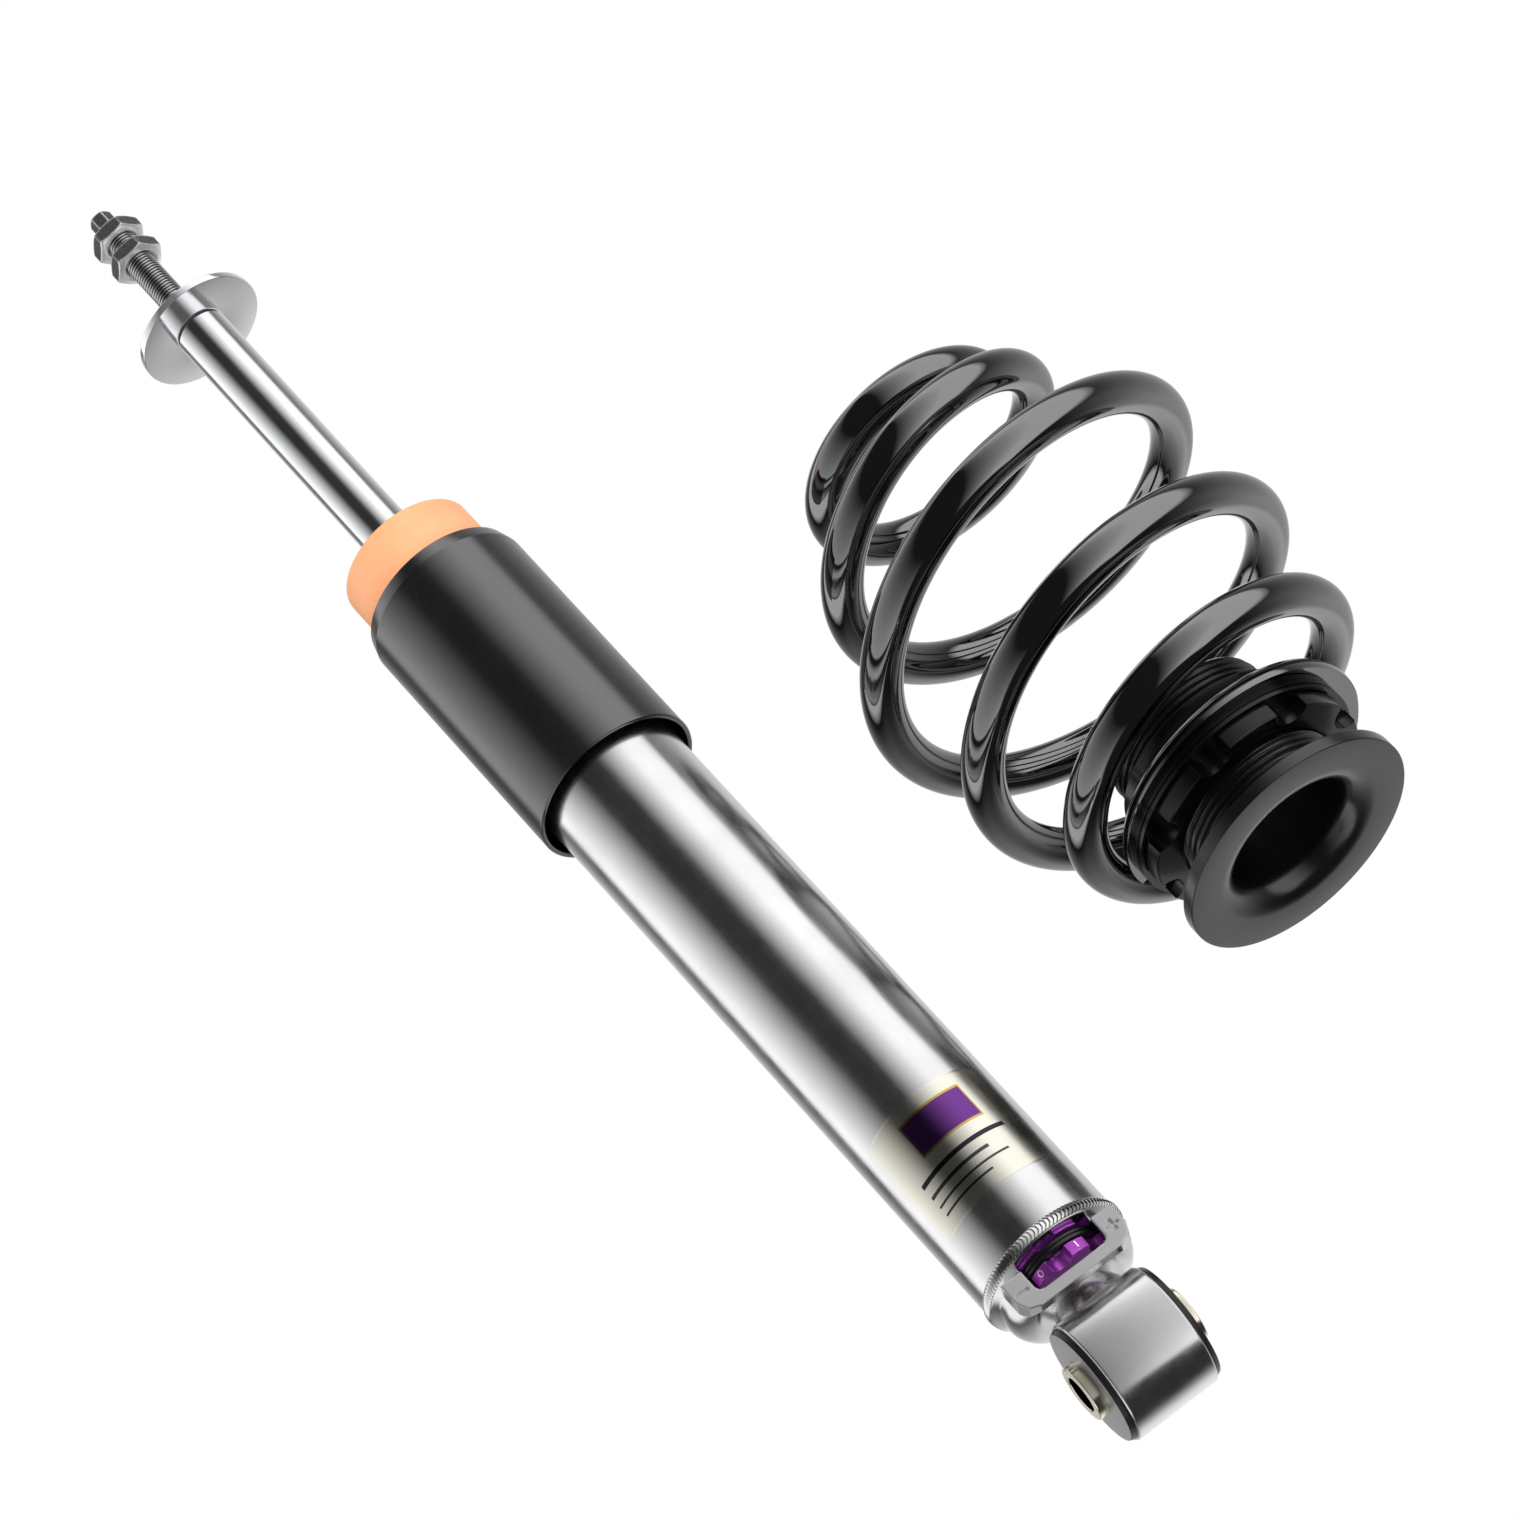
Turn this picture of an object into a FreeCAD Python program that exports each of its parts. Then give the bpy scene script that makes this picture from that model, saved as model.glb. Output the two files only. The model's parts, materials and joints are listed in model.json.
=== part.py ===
import FreeCAD, Part
import Sketcher
import math
import os

"""Rear coilover set: an adjustable twin-tube damper and, beside it, a barrel spring on a
height-adjustable perch.

Millimetres, +Z up along the damper's axis. The origin is the centre of the lower eye, +X runs
along the eye's bolt axis towards the spring unit, and the adjuster window faces -Y.
"""

PARTS_FOLDER = "parts"

# Driving dimensions: alias, value, what it is.
DIMENSIONS = [
    ("eye_radius", 21.0, "outside of the eye ring"),
    ("eye_bore", 17.0, "bore of the eye ring"),
    ("eye_length", 30.0, "length of the eye ring"),
    ("bush_lip_radius", 20.2, "lip of the rubber bush over the ring's end"),
    ("bush_face_radius", 18.6, "end face of the rubber bush"),
    ("bush_length", 34.0, "rubber bush, end to end"),
    ("sleeve_radius", 9.5, "inner sleeve of the eye"),
    ("sleeve_bore", 6.1, "clearance hole for an M12 bolt"),
    ("sleeve_length", 41.0, "inner sleeve, end to end"),
    ("running_gap", 0.05, "radial clearance of running fits"),
    ("neck_radius", 11.0, "neck between base and eye"),
    ("neck_bottom", 16.0, "where the neck starts, inside the eye ring's radius"),
    ("eye_weld_radius", 15.5, "foot of the weld on the eye ring"),
    ("eye_weld_top", 25.2, "where the eye weld ends on the neck"),
    ("cap_radius", 23.1, "round base cap"),
    ("cap_bottom", 25.3, "lower face of the base cap"),
    ("cap_rounding", 8.0, "rounding of the cap's lower edge"),
    ("cap_shoulder", 36.0, "where the cap widens to the tube"),
    ("weld_level", 40.0, "joint of base and tube"),
    ("weld_width", 4.4, "weld bead, along the tube"),
    ("weld_height", 0.9, "weld bead, proud of the tube"),
    ("boss_half_width", 20.8, "flat adjuster boss"),
    ("boss_front", 21.0, "flat face, from the damper's axis"),
    ("boss_depth", 7.0, "boss, front to back"),
    ("boss_bottom", 21.0, "lower edge of the boss"),
    ("boss_top", 34.2, "upper edge of the boss"),
    ("boss_rounding", 5.5, "rounding of the boss's lower corners"),
    ("window_half_width", 13.2, "window in the boss"),
    ("window_bottom", 25.0, "lower edge of the window"),
    ("window_top", 37.6, "upper edge of the window"),
    ("window_depth", 8.0, "window, from the flat face"),
    ("mark_depth", 0.5, "engraved plus and minus"),
    ("mark_width", 1.0, "stroke of the engraved marks"),
    ("mark_length", 4.2, "length of the engraved marks"),
    ("mark_offset", 17.0, "marks, from the middle of the boss"),
    ("mark_level", 28.2, "height of the marks"),
    ("tube_radius", 25.0, "outside of the body tube"),
    ("tube_inner", 22.5, "inside of the body tube"),
    ("tube_top", 338.0, "upper end of the body tube"),
    ("dial_floor", 28.0, "floor of the dial chamber"),
    ("dial_forward", 5.0, "dial's axis, in front of the damper's"),
    ("chamber_radius", 17.6, "dial chamber"),
    ("dial_radius", 16.0, "scalloped dial"),
    ("dial_bottom", 28.2, "lower face of the dial"),
    ("dial_rim", 4.6, "height of the scalloped rim"),
    ("dial_groove", 3.8, "width of the seal groove"),
    ("dial_groove_radius", 13.2, "floor of the seal groove"),
    ("dial_flange_radius", 17.3, "upper rim of the dial"),
    ("dial_top", 39.4, "upper face of the dial"),
    ("scallop_radius", 3.9, "finger recess in the dial"),
    ("scallop_count", 7, "finger recesses"),
    ("scallop_start", -7.0, "first recess, degrees from the window's middle"),
    ("shaft_radius", 4.0, "dial shaft"),
    ("needle_radius", 3.0, "metering needle"),
    ("needle_top", 58.0, "tip of the metering needle"),
    ("ball_radius", 1.5, "detent ball"),
    ("ball_offset", 6.0, "detent ball, behind the damper's axis"),
    ("plug_bottom", 39.8, "plug that closes the oil space"),
    ("plug_top", 46.0, "top of the plug"),
    ("cylinder_inner", 15.0, "bore of the working cylinder"),
    ("cylinder_outer", 16.5, "outside of the working cylinder"),
    ("cylinder_bottom", 52.0, "lower end of the working cylinder"),
    ("valve_top", 60.0, "top of the base valve"),
    ("valve_port_circle", 11.3, "base valve's ports, from the axis"),
    ("guide_bottom", 318.0, "lower face of the rod guide"),
    ("guide_top", 330.0, "upper face of the rod guide"),
    ("seal_top", 334.0, "upper face of the rod seal"),
    ("cap_top", 340.0, "upper face of the tube's closing cap"),
    ("rod_radius", 9.1, "piston rod"),
    ("rod_shoulder", 511.8, "shoulder that carries the washer"),
    ("rod_step", 268.0, "shoulder that carries the piston"),
    ("rod_end", 232.0, "lower end of the rod"),
    ("stub_radius", 6.0, "piston stub of the rod"),
    ("spindle_radius", 2.0, "adjuster spindle in the hollow rod"),
    ("pin_radius", 5.0, "crest of the M10 pin"),
    ("pin_pitch", 1.25, "pitch of the M10 pin"),
    ("pin_end", 568.5, "upper end of the threaded pin"),
    ("pin_thread_count", 41, "thread grooves on the pin"),
    ("piston_radius", 14.9, "piston"),
    ("piston_bottom", 247.0, "lower face of the piston"),
    ("piston_height", 18.0, "piston"),
    ("shim_radius", 12.0, "valve discs"),
    ("stop_bottom", 300.0, "rebound stop ring"),
    ("washer_radius", 22.6, "flat disc on the rod's shoulder"),
    ("washer_height", 2.7, "thickness of the disc"),
    ("nut_flats", 17.0, "nuts, across flats"),
    ("nut_height", 6.0, "thin nut"),
    ("lower_nut_base", 549.3, "lower face of the lower nut"),
    ("upper_nut_base", 560.6, "lower face of the upper nut"),
    ("pin_hex_turn", -13.0, "first corner of nuts and adjuster tip, degrees from +X"),
    ("knob_flats", 7.4, "adjuster tip, across flats"),
    ("knob_top", 576.0, "top of the adjuster tip"),
    ("stop_radius", 24.4, "foam bump stop"),
    ("stop_top", 388.0, "upper face of the bump stop"),
    ("stop_rounding", 1.2, "rounding of the bump stop's edge"),
    ("boot_radius", 29.35, "dust sleeve"),
    ("boot_bottom", 268.4, "lip of the dust sleeve"),
    ("boot_wall", 1.6, "wall of the dust sleeve"),
    ("boot_shoulder", 362.3, "where the dust sleeve starts to narrow"),
    ("boot_rim_radius", 28.0, "upper edge of the dust sleeve"),
    ("boot_top", 367.5, "level of the dust sleeve's upper edge"),
    ("label_bottom", 60.0, "lower edge of the foil label"),
    ("label_height", 42.0, "foil label"),
    ("label_angle", 108.0, "foil label, round the tube, in degrees"),
    ("label_start", -150.0, "first edge of the label, degrees from +X"),
    ("label_thickness", 0.15, "foil label"),
    ("spring_axis", 146.87, "spring unit's axis, from the damper's"),
    ("perch_bottom", 104.6, "lower face of the perch flange"),
    ("flange_radius", 42.0, "perch flange"),
    ("flange_height", 4.5, "perch flange"),
    ("perch_bore", 21.8, "bore of the perch"),
    ("perch_mouth", 9.0, "rounded mouth of the bore"),
    ("perch_thread", 29.0, "crest of the perch thread"),
    ("perch_pitch", 2.5, "pitch of the perch thread"),
    ("perch_thread_count", 21, "thread grooves on the perch"),
    ("perch_height", 58.4, "perch, flange included"),
    ("ring_bottom", 124.5, "lower face of the adjuster ring"),
    ("ring_radius", 39.8, "notched part of the adjuster ring"),
    ("ring_groove", 0.7, "width and depth of the turned grooves round the ring"),
    ("ring_lip_radius", 41.4, "spring seat of the adjuster ring"),
    ("ring_lip_bottom", 6.4, "underside of the lip, above the ring's lower face"),
    ("seat_height", 10.5, "spring seat, above the ring's lower face"),
    ("collar_radius", 33.4, "collar that centres the spring"),
    ("ring_height", 26.5, "adjuster ring"),
    ("notch_radius", 6.3, "notch for a hook spanner"),
    ("notch_count", 8, "notches round the ring"),
    ("notch_start", -107.0, "first notch, degrees from +X"),
    ("wire_radius", 7.0, "spring wire"),
]

# Centre line of the spring wire: turn angle in degrees from +X, height, coil radius.
SPRING_COURSE = [
    (159, 133.0, 41.0),
    (270, 135.5, 41.0),
    (360, 137.5, 41.5),
    (450, 141.0, 45.0),
    (540, 146.5, 49.7),
    (630, 153.0, 54.5),
    (720, 161.0, 58.5),
    (900, 182.5, 62.3),
    (1080, 203.0, 65.9),
    (1260, 228.0, 68.0),
    (1440, 253.0, 66.2),
    (1620, 271.5, 52.8),
    (1710, 284.0, 47.0),
    (1800, 295.5, 42.3),
    (1890, 301.0, 37.5),
    (1980, 304.5, 35.2),
    (2130, 305.5, 34.5),
]


class Size:
    """A size that knows its value and the spreadsheet expression that gives it."""

    def __init__(self, value, text):
        self.value = float(value)
        self.text = text

    def __add__(self, other):
        other = as_size(other)
        return Size(self.value + other.value, f"({self.text} + {other.text})")

    def __sub__(self, other):
        other = as_size(other)
        return Size(self.value - other.value, f"({self.text} - {other.text})")

    def __rsub__(self, other):
        return as_size(other) - self

    def __mul__(self, other):
        other = as_size(other)
        return Size(self.value * other.value, f"({self.text} * {other.text})")

    def __truediv__(self, other):
        other = as_size(other)
        return Size(self.value / other.value, f"({self.text} / {other.text})")

    def __neg__(self):
        return Size(-self.value, f"(0 - {self.text})")

    __radd__ = __add__
    __rmul__ = __mul__


def as_size(number):
    return number if isinstance(number, Size) else Size(number, str(number))


class Sizes:
    """Every alias of the sheet as an attribute, so that sizes.tube_radius is a Size."""

    def __init__(self, document):
        sheet = document.addObject("Spreadsheet::Sheet", "Dimensions")
        for row, (alias, value, meaning) in enumerate(DIMENSIONS, start=1):
            sheet.set(f"A{row}", meaning)
            sheet.set(f"B{row}", str(value))
            sheet.setAlias(f"B{row}", alias)
            setattr(self, alias, Size(value, f"Dimensions.{alias}"))
        document.recompute()


doc = FreeCAD.newDocument("RearCoilover")
S = Sizes(doc)


# ---- helpers -------------------------------------------------------------------------------

def bind(item, prop, size):
    item.setExpression(prop, as_size(size).text)


def place(item, x=0, y=0, z=0):
    """Bind the item's position to sheet sizes."""
    for letter, size in (("x", x), ("y", y), ("z", z)):
        bind(item, f"Placement.Base.{letter}", size)


def new_body(label):
    body = doc.addObject("PartDesign::Body", label)
    body.Label = label
    return body


def origin_feature(body, role):
    return next(item for item in body.Origin.OriginFeatures if item.Role == role)


def new_sketch(body, name, plane, height=None):
    """A sketch on one of the body's own origin planes, raised by height along its normal."""
    sketch = body.newObject("Sketcher::SketchObject", name)
    sketch.AttachmentSupport = [(origin_feature(body, plane), "")]
    sketch.MapMode = "FlatFace"
    if height is not None:
        bind(sketch, "AttachmentOffset.Base.z", height)
    return sketch


def pin_point(sketch, line, end, across, up):
    """Fix one end of a line at (across, up) with dimensions bound to the sheet."""
    for kind, size, zero_axis in (("DistanceX", across, -2), ("DistanceY", up, -1)):
        if size.value == 0:
            sketch.addConstraint(Sketcher.Constraint("PointOnObject", line, end, zero_axis))
            continue
        index = sketch.addConstraint(
            Sketcher.Constraint(kind, -1, 1, line, end, size.value))
        sketch.setExpression(f"Constraints[{index}]", size.text)


def draw_outline(sketch, points):
    """A closed outline of straight lines through the points, each fully dimensioned."""
    corners = [(as_size(across), as_size(up)) for across, up in points]
    vectors = [FreeCAD.Vector(across.value, up.value, 0) for across, up in corners]
    first = sketch.GeometryCount
    for number, start in enumerate(vectors):
        finish = vectors[(number + 1) % len(vectors)]
        sketch.addGeometry(Part.LineSegment(start, finish))
    for number in range(len(corners)):
        following = first + (number + 1) % len(corners)
        sketch.addConstraint(
            Sketcher.Constraint("Coincident", first + number, 2, following, 1))
    for number, (across, up) in enumerate(corners):
        pin_point(sketch, first + number, 1, across, up)


def draw_circle(sketch, across, up, radius):
    across, up, radius = as_size(across), as_size(up), as_size(radius)
    centre = FreeCAD.Vector(across.value, up.value, 0)
    circle = sketch.addGeometry(
        Part.Circle(centre, FreeCAD.Vector(0, 0, 1), radius.value))
    pin_point(sketch, circle, 3, across, up)
    index = sketch.addConstraint(Sketcher.Constraint("Radius", circle, radius.value))
    sketch.setExpression(f"Constraints[{index}]", radius.text)


def revolved(label, outline, along="Z"):
    """A turned piece. The outline is (radius, distance along the axis) pairs."""
    body = new_body(label)
    sketch = new_sketch(body, label + "_profile", "XZ_Plane")
    if along == "Z":
        draw_outline(sketch, outline)
    else:
        draw_outline(sketch, [(distance, radius) for radius, distance in outline])
    turn = body.newObject("PartDesign::Revolution", label + "_turned")
    turn.Profile = sketch
    turn.ReferenceAxis = (sketch, ["V_Axis" if along == "Z" else "H_Axis"])
    turn.Angle = 360
    doc.recompute()
    return body


def circle_edges(shape, radius, level, tolerance=0.05):
    """Names of the full or partial circles of one radius at one height."""
    names = []
    for number, edge in enumerate(shape.Edges, start=1):
        curve = edge.Curve
        if not isinstance(curve, Part.Circle):
            continue
        same_size = abs(curve.Radius - radius) < tolerance
        if same_size and abs(curve.Center.z - level) < tolerance:
            names.append(f"Edge{number}")
    return names


def dress_edges(body, kind, size, circles):
    """Fillet or chamfer the body's circular edges given as (radius, height) in its own frame."""
    base = body.Tip
    shape = base.Shape
    names = []
    for radius, level in circles:
        names += circle_edges(shape, as_size(radius).value, as_size(level).value)
    dressing = body.newObject(f"PartDesign::{kind}", f"{body.Label}_{kind.lower()}")
    dressing.Base = (base, names)
    bind(dressing, "Radius" if kind == "Fillet" else "Size", size)
    doc.recompute()
    body.Tip = dressing
    return dressing


def cut_through(body, sketch, name, depth, symmetric=False):
    """A pocket below the sketch, or to both sides of it."""
    pocket = body.newObject("PartDesign::Pocket", name)
    pocket.Profile = sketch
    bind(pocket, "Length", depth)
    if symmetric:
        pocket.Midplane = True
    doc.recompute()
    body.Tip = pocket
    return pocket


def repeat_round(body, feature, name, count):
    """Repeat one feature of the body evenly round its Z axis."""
    pattern = body.newObject("PartDesign::PolarPattern", name)
    pattern.Originals = [feature]
    pattern.Axis = (origin_feature(body, "Z_Axis"), [""])
    pattern.Angle = 360
    bind(pattern, "Occurrences", count)
    body.Tip = pattern
    doc.recompute()
    return pattern


def repeat_up(body, feature, name, step, count):
    """Repeat one feature of the body along its Z axis."""
    pattern = body.newObject("PartDesign::LinearPattern", name)
    pattern.Originals = [feature]
    pattern.Direction = (origin_feature(body, "Z_Axis"), [""])
    bind(pattern, "Occurrences", count)
    bind(pattern, "Length", step * (count - 1))
    body.Tip = pattern
    doc.recompute()
    return pattern


def cut_thread(body, crest, first, pitch, count):
    """V grooves round the Z axis that stand for a screw thread."""
    depth = 0.58
    sketch = new_sketch(body, body.Label + "_thread_profile", "XZ_Plane")
    outside = crest + pitch * 0.1
    draw_outline(sketch, [
        (crest - pitch * depth, first),
        (outside, first + pitch * 0.48),
        (outside, first - pitch * 0.48),
    ])
    groove = body.newObject("PartDesign::Groove", body.Label + "_thread")
    groove.Profile = sketch
    groove.ReferenceAxis = (sketch, ["V_Axis"])
    groove.Angle = 360
    doc.recompute()
    body.Tip = groove
    repeat_up(body, groove, body.Label + "_thread_grooves", pitch, count)


def tube_outline(inner, outer, height):
    return [(inner, 0), (outer, 0), (outer, height), (inner, height)]


def ring(label, inner, outer, bottom, height):
    """A plain turned ring between two radii, standing on a height."""
    body = revolved(label, tube_outline(inner, outer, height))
    place(body, z=bottom)
    return body


# ---- lower eye -----------------------------------------------------------------------------

def make_eye_ring():
    body = revolved("eye_ring", tube_outline(S.eye_bore, S.eye_radius, S.eye_length), along="X")
    place(body, x=-S.eye_length / 2)
    return body


def make_eye_bush():
    lip = (S.bush_length - S.eye_length) / 2
    face = S.bush_length
    bore = S.sleeve_radius + S.running_gap
    body = revolved("eye_bush", [
        (bore, 0),
        (S.bush_face_radius, 0),
        (S.bush_lip_radius, lip - 0.3),
        (S.bush_lip_radius, lip),
        (S.eye_bore, lip),
        (S.eye_bore, face - lip),
        (S.bush_lip_radius, face - lip),
        (S.bush_lip_radius, face - lip + 0.3),
        (S.bush_face_radius, face),
        (bore, face),
    ], along="X")
    place(body, x=-S.bush_length / 2)
    return body


def make_eye_sleeve():
    edge = 0.7
    end = S.sleeve_length
    body = revolved("eye_sleeve", [
        (S.sleeve_bore, edge),
        (S.sleeve_bore + edge, 0),
        (S.sleeve_radius - edge, 0),
        (S.sleeve_radius, edge),
        (S.sleeve_radius, end - edge),
        (S.sleeve_radius - edge, end),
        (S.sleeve_bore + edge, end),
        (S.sleeve_bore, end - edge),
    ], along="X")
    place(body, x=-S.sleeve_length / 2)
    return body


def make_eye_weld():
    """A flared fillet round the neck, with the eye ring and the neck taken out of it."""
    foot = doc.addObject("Part::Cone", "eye_weld_foot")
    bind(foot, "Radius1", S.eye_weld_radius)
    bind(foot, "Radius2", S.neck_radius)
    bind(foot, "Height", S.eye_weld_top - S.neck_bottom)
    place(foot, z=S.neck_bottom)
    neck = doc.addObject("Part::Cylinder", "eye_weld_neck")
    bind(neck, "Radius", S.neck_radius)
    bind(neck, "Height", S.cap_bottom)
    eye = doc.addObject("Part::Cylinder", "eye_weld_eye")
    bind(eye, "Radius", S.eye_radius)
    bind(eye, "Height", S.eye_length * 2)
    eye.Placement.Rotation = FreeCAD.Rotation(FreeCAD.Vector(0, 1, 0), 90)
    place(eye, x=-S.eye_length)
    both = doc.addObject("Part::Fuse", "eye_weld_room")
    both.Base = neck
    both.Tool = eye
    weld = doc.addObject("Part::Cut", "eye_weld")
    weld.Base = foot
    weld.Tool = both
    return weld


# ---- base with the adjuster window -----------------------------------------------------------

def add_boss(body):
    """The flat adjuster boss, with rounded lower corners."""
    sketch = new_sketch(body, "boss_outline", "XZ_Plane", S.boss_front)
    half = S.boss_half_width
    corner = S.boss_rounding
    draw_outline(sketch, [
        (-half, S.boss_bottom + corner),
        (-half + corner * 0.3, S.boss_bottom + corner * 0.3),
        (-half + corner, S.boss_bottom),
        (half - corner, S.boss_bottom),
        (half - corner * 0.3, S.boss_bottom + corner * 0.3),
        (half, S.boss_bottom + corner),
        (half, S.boss_top),
        (-half, S.boss_top),
    ])
    boss = body.newObject("PartDesign::Pad", "boss")
    boss.Profile = sketch
    boss.Reversed = True
    bind(boss, "Length", S.boss_depth)
    doc.recompute()
    body.Tip = boss


def cut_eye_saddle(body):
    """The neck ends on the eye ring's outside."""
    sketch = new_sketch(body, "saddle_outline", "YZ_Plane")
    draw_circle(sketch, 0, 0, S.eye_radius)
    cut_through(body, sketch, "eye_saddle", S.eye_length * 2, symmetric=True)


def cut_window(body):
    sketch = new_sketch(body, "window_outline", "XZ_Plane", S.boss_front + 5)
    half = S.window_half_width
    corner = as_size(2.2)
    draw_outline(sketch, [
        (-half, S.window_bottom + corner),
        (-half + corner * 0.3, S.window_bottom + corner * 0.3),
        (-half + corner, S.window_bottom),
        (half - corner, S.window_bottom),
        (half - corner * 0.3, S.window_bottom + corner * 0.3),
        (half, S.window_bottom + corner),
        (half, S.window_top),
        (-half, S.window_top),
    ])
    cut_through(body, sketch, "window", S.window_depth + 5)


def cut_mark(body, name, middle, width, height):
    """One engraved stroke on the flat face."""
    sketch = new_sketch(body, name + "_outline", "XZ_Plane", S.boss_front)
    left = middle - width / 2
    low = S.mark_level - height / 2
    draw_outline(sketch, [
        (left, low),
        (left + width, low),
        (left + width, low + height),
        (left, low + height),
    ])
    cut_through(body, sketch, name, S.mark_depth)


def add_boss_heel(body):
    """The boss's underside slopes up to the cap behind the flat face."""
    sketch = new_sketch(body, "heel_outline", "YZ_Plane")
    back = S.boss_depth - S.boss_front
    draw_outline(sketch, [
        (back - 3.2, S.boss_bottom),
        (back, S.boss_bottom - 1),
        (back + 1, S.boss_bottom),
        (back + 1, S.cap_bottom - 0.3),
        (back, S.cap_bottom - 0.3),
    ])
    cut_through(body, sketch, "boss_heel", S.boss_half_width * 3, symmetric=True)


def make_base_housing():
    shoulder = S.cap_shoulder
    body = revolved("base_housing", [
        (0, S.neck_bottom),
        (S.neck_radius, S.neck_bottom),
        (S.neck_radius, S.cap_bottom),
        (S.cap_radius, S.cap_bottom),
        (S.cap_radius, shoulder),
        (S.tube_radius, shoulder + 1.9),
        (S.tube_radius, S.weld_level),
        (S.tube_inner, S.weld_level),
        (S.tube_inner, S.plug_bottom),
        (0, S.plug_bottom),
    ])
    dress_edges(body, "Fillet", S.cap_rounding, [(S.cap_radius, S.cap_bottom)])
    add_boss(body)
    add_boss_heel(body)
    chamber = new_sketch(body, "chamber_outline", "XY_Plane", S.plug_bottom)
    draw_circle(chamber, 0, -S.dial_forward, S.chamber_radius)
    cut_through(body, chamber, "dial_chamber", S.plug_bottom - S.dial_floor)
    cut_eye_saddle(body)
    cut_window(body)
    cut_mark(body, "minus_mark", -S.mark_offset, S.mark_length, S.mark_width)
    cut_mark(body, "plus_mark_across", S.mark_offset, S.mark_length, S.mark_width)
    cut_mark(body, "plus_mark_up", S.mark_offset, S.mark_width, S.mark_length)
    return body


def make_base_weld():
    half = S.weld_width / 2
    body = revolved("base_weld", [
        (S.tube_radius, 0),
        (S.tube_radius + S.weld_height * 0.7, half * 0.35),
        (S.tube_radius + S.weld_height, half),
        (S.tube_radius + S.weld_height * 0.7, half * 1.65),
        (S.tube_radius, S.weld_width),
    ])
    place(body, z=S.weld_level - half)
    return body


def make_body_tube():
    height = S.tube_top - S.weld_level
    return ring("body_tube", S.tube_inner, S.tube_radius, S.weld_level, height)


def make_label_plate():
    """A thin strip that lies on the tube and reaches part of the way round it."""
    body = new_body("label_plate")
    sketch = new_sketch(body, "label_profile", "XZ_Plane")
    outer = S.tube_radius + S.label_thickness
    draw_outline(sketch, tube_outline(S.tube_radius, outer, S.label_height))
    turn = body.newObject("PartDesign::Revolution", "label_bend")
    turn.Profile = sketch
    turn.ReferenceAxis = (sketch, ["V_Axis"])
    bind(turn, "Angle", S.label_angle)
    bind(body, "Placement.Rotation.Angle", S.label_start)
    place(body, z=S.label_bottom)
    doc.recompute()
    return body


# ---- compression adjuster ---------------------------------------------------------------------

def cut_scallops(body, name, bottom, height, radius):
    """Finger recesses round one rim of the dial."""
    sketch = new_sketch(body, name + "_outline", "XY_Plane", bottom + height)
    draw_circle(sketch, 0, -(radius + 0.6), S.scallop_radius)
    pocket = cut_through(body, sketch, name, height)
    repeat_round(body, pocket, name + "_ring", S.scallop_count)


def make_compression_dial():
    rim = S.dial_rim
    groove_top = rim + S.dial_groove
    height = S.dial_top - S.dial_bottom
    edge = 0.4
    body = revolved("compression_dial", [
        (S.shaft_radius, 0),
        (S.dial_radius - edge, 0),
        (S.dial_radius, edge),
        (S.dial_radius, rim - edge),
        (S.dial_radius - edge, rim),
        (S.dial_groove_radius, rim),
        (S.dial_groove_radius, groove_top),
        (S.dial_flange_radius, groove_top),
        (S.dial_flange_radius, height),
        (S.shaft_radius, height),
    ])
    place(body, y=-S.dial_forward, z=S.dial_bottom)
    bind(body, "Placement.Rotation.Angle", S.scallop_start)
    cut_scallops(body, "lower_scallops", as_size(0), rim, S.dial_radius)
    cut_scallops(body, "upper_scallops", groove_top, height - groove_top,
                 S.dial_flange_radius)
    return body


def make_dial_seal():
    cord = (S.dial_groove - 0.4) / 2
    seal = doc.addObject("Part::Torus", "dial_seal")
    bind(seal, "Radius1", S.dial_groove_radius + cord + 0.02)
    bind(seal, "Radius2", cord)
    place(seal, y=-S.dial_forward, z=S.dial_bottom + S.dial_rim + S.dial_groove / 2)
    return seal


def make_compression_needle():
    """The dial's shaft, and above it the needle that reaches into the base valve."""
    point = as_size(6.0)
    top = S.needle_top - S.dial_bottom
    shaft_top = S.dial_top - S.dial_bottom
    body = revolved("compression_needle", [
        (0, 0),
        (S.shaft_radius, 0),
        (S.shaft_radius, shaft_top),
        (S.needle_radius, shaft_top),
        (S.needle_radius, top - point),
        (0.5, top),
        (0, top),
    ])
    place(body, y=-S.dial_forward, z=S.dial_bottom)
    return body


def make_detent_ball():
    ball = doc.addObject("Part::Sphere", "detent_ball")
    bind(ball, "Radius", S.ball_radius)
    place(ball, y=S.ball_offset, z=S.dial_top + S.ball_radius + 0.05)
    return ball


def make_detent_spring():
    """Helical wire above the ball, held in the plug's blind hole."""
    wire = 0.25
    coil = S.ball_radius.value - wire - 0.1
    bottom = S.dial_top.value + 2 * S.ball_radius.value + 0.05 + wire
    top = S.plug_top.value - 1.0 - wire
    turns = 4
    path = Part.makeHelix((top - bottom) / turns, top - bottom, coil)
    section = Part.Wire(Part.makeCircle(
        wire, FreeCAD.Vector(coil, 0, 0), FreeCAD.Vector(0, 1, 0)))
    spring = doc.addObject("Part::Feature", "detent_spring")
    spring.Shape = Part.Wire(path.Edges).makePipeShell([section], True, True)
    spring.Placement.Base = FreeCAD.Vector(0, S.ball_offset.value, bottom)
    return spring


def cut_needle_bore(body, height):
    """Bore for the needle, on the dial's axis, from the piece's lower face up."""
    sketch = new_sketch(body, body.Label + "_needle_outline", "XY_Plane", height)
    draw_circle(sketch, 0, -S.dial_forward, S.needle_radius + S.running_gap)
    cut_through(body, sketch, body.Label + "_needle_bore", height)


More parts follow.
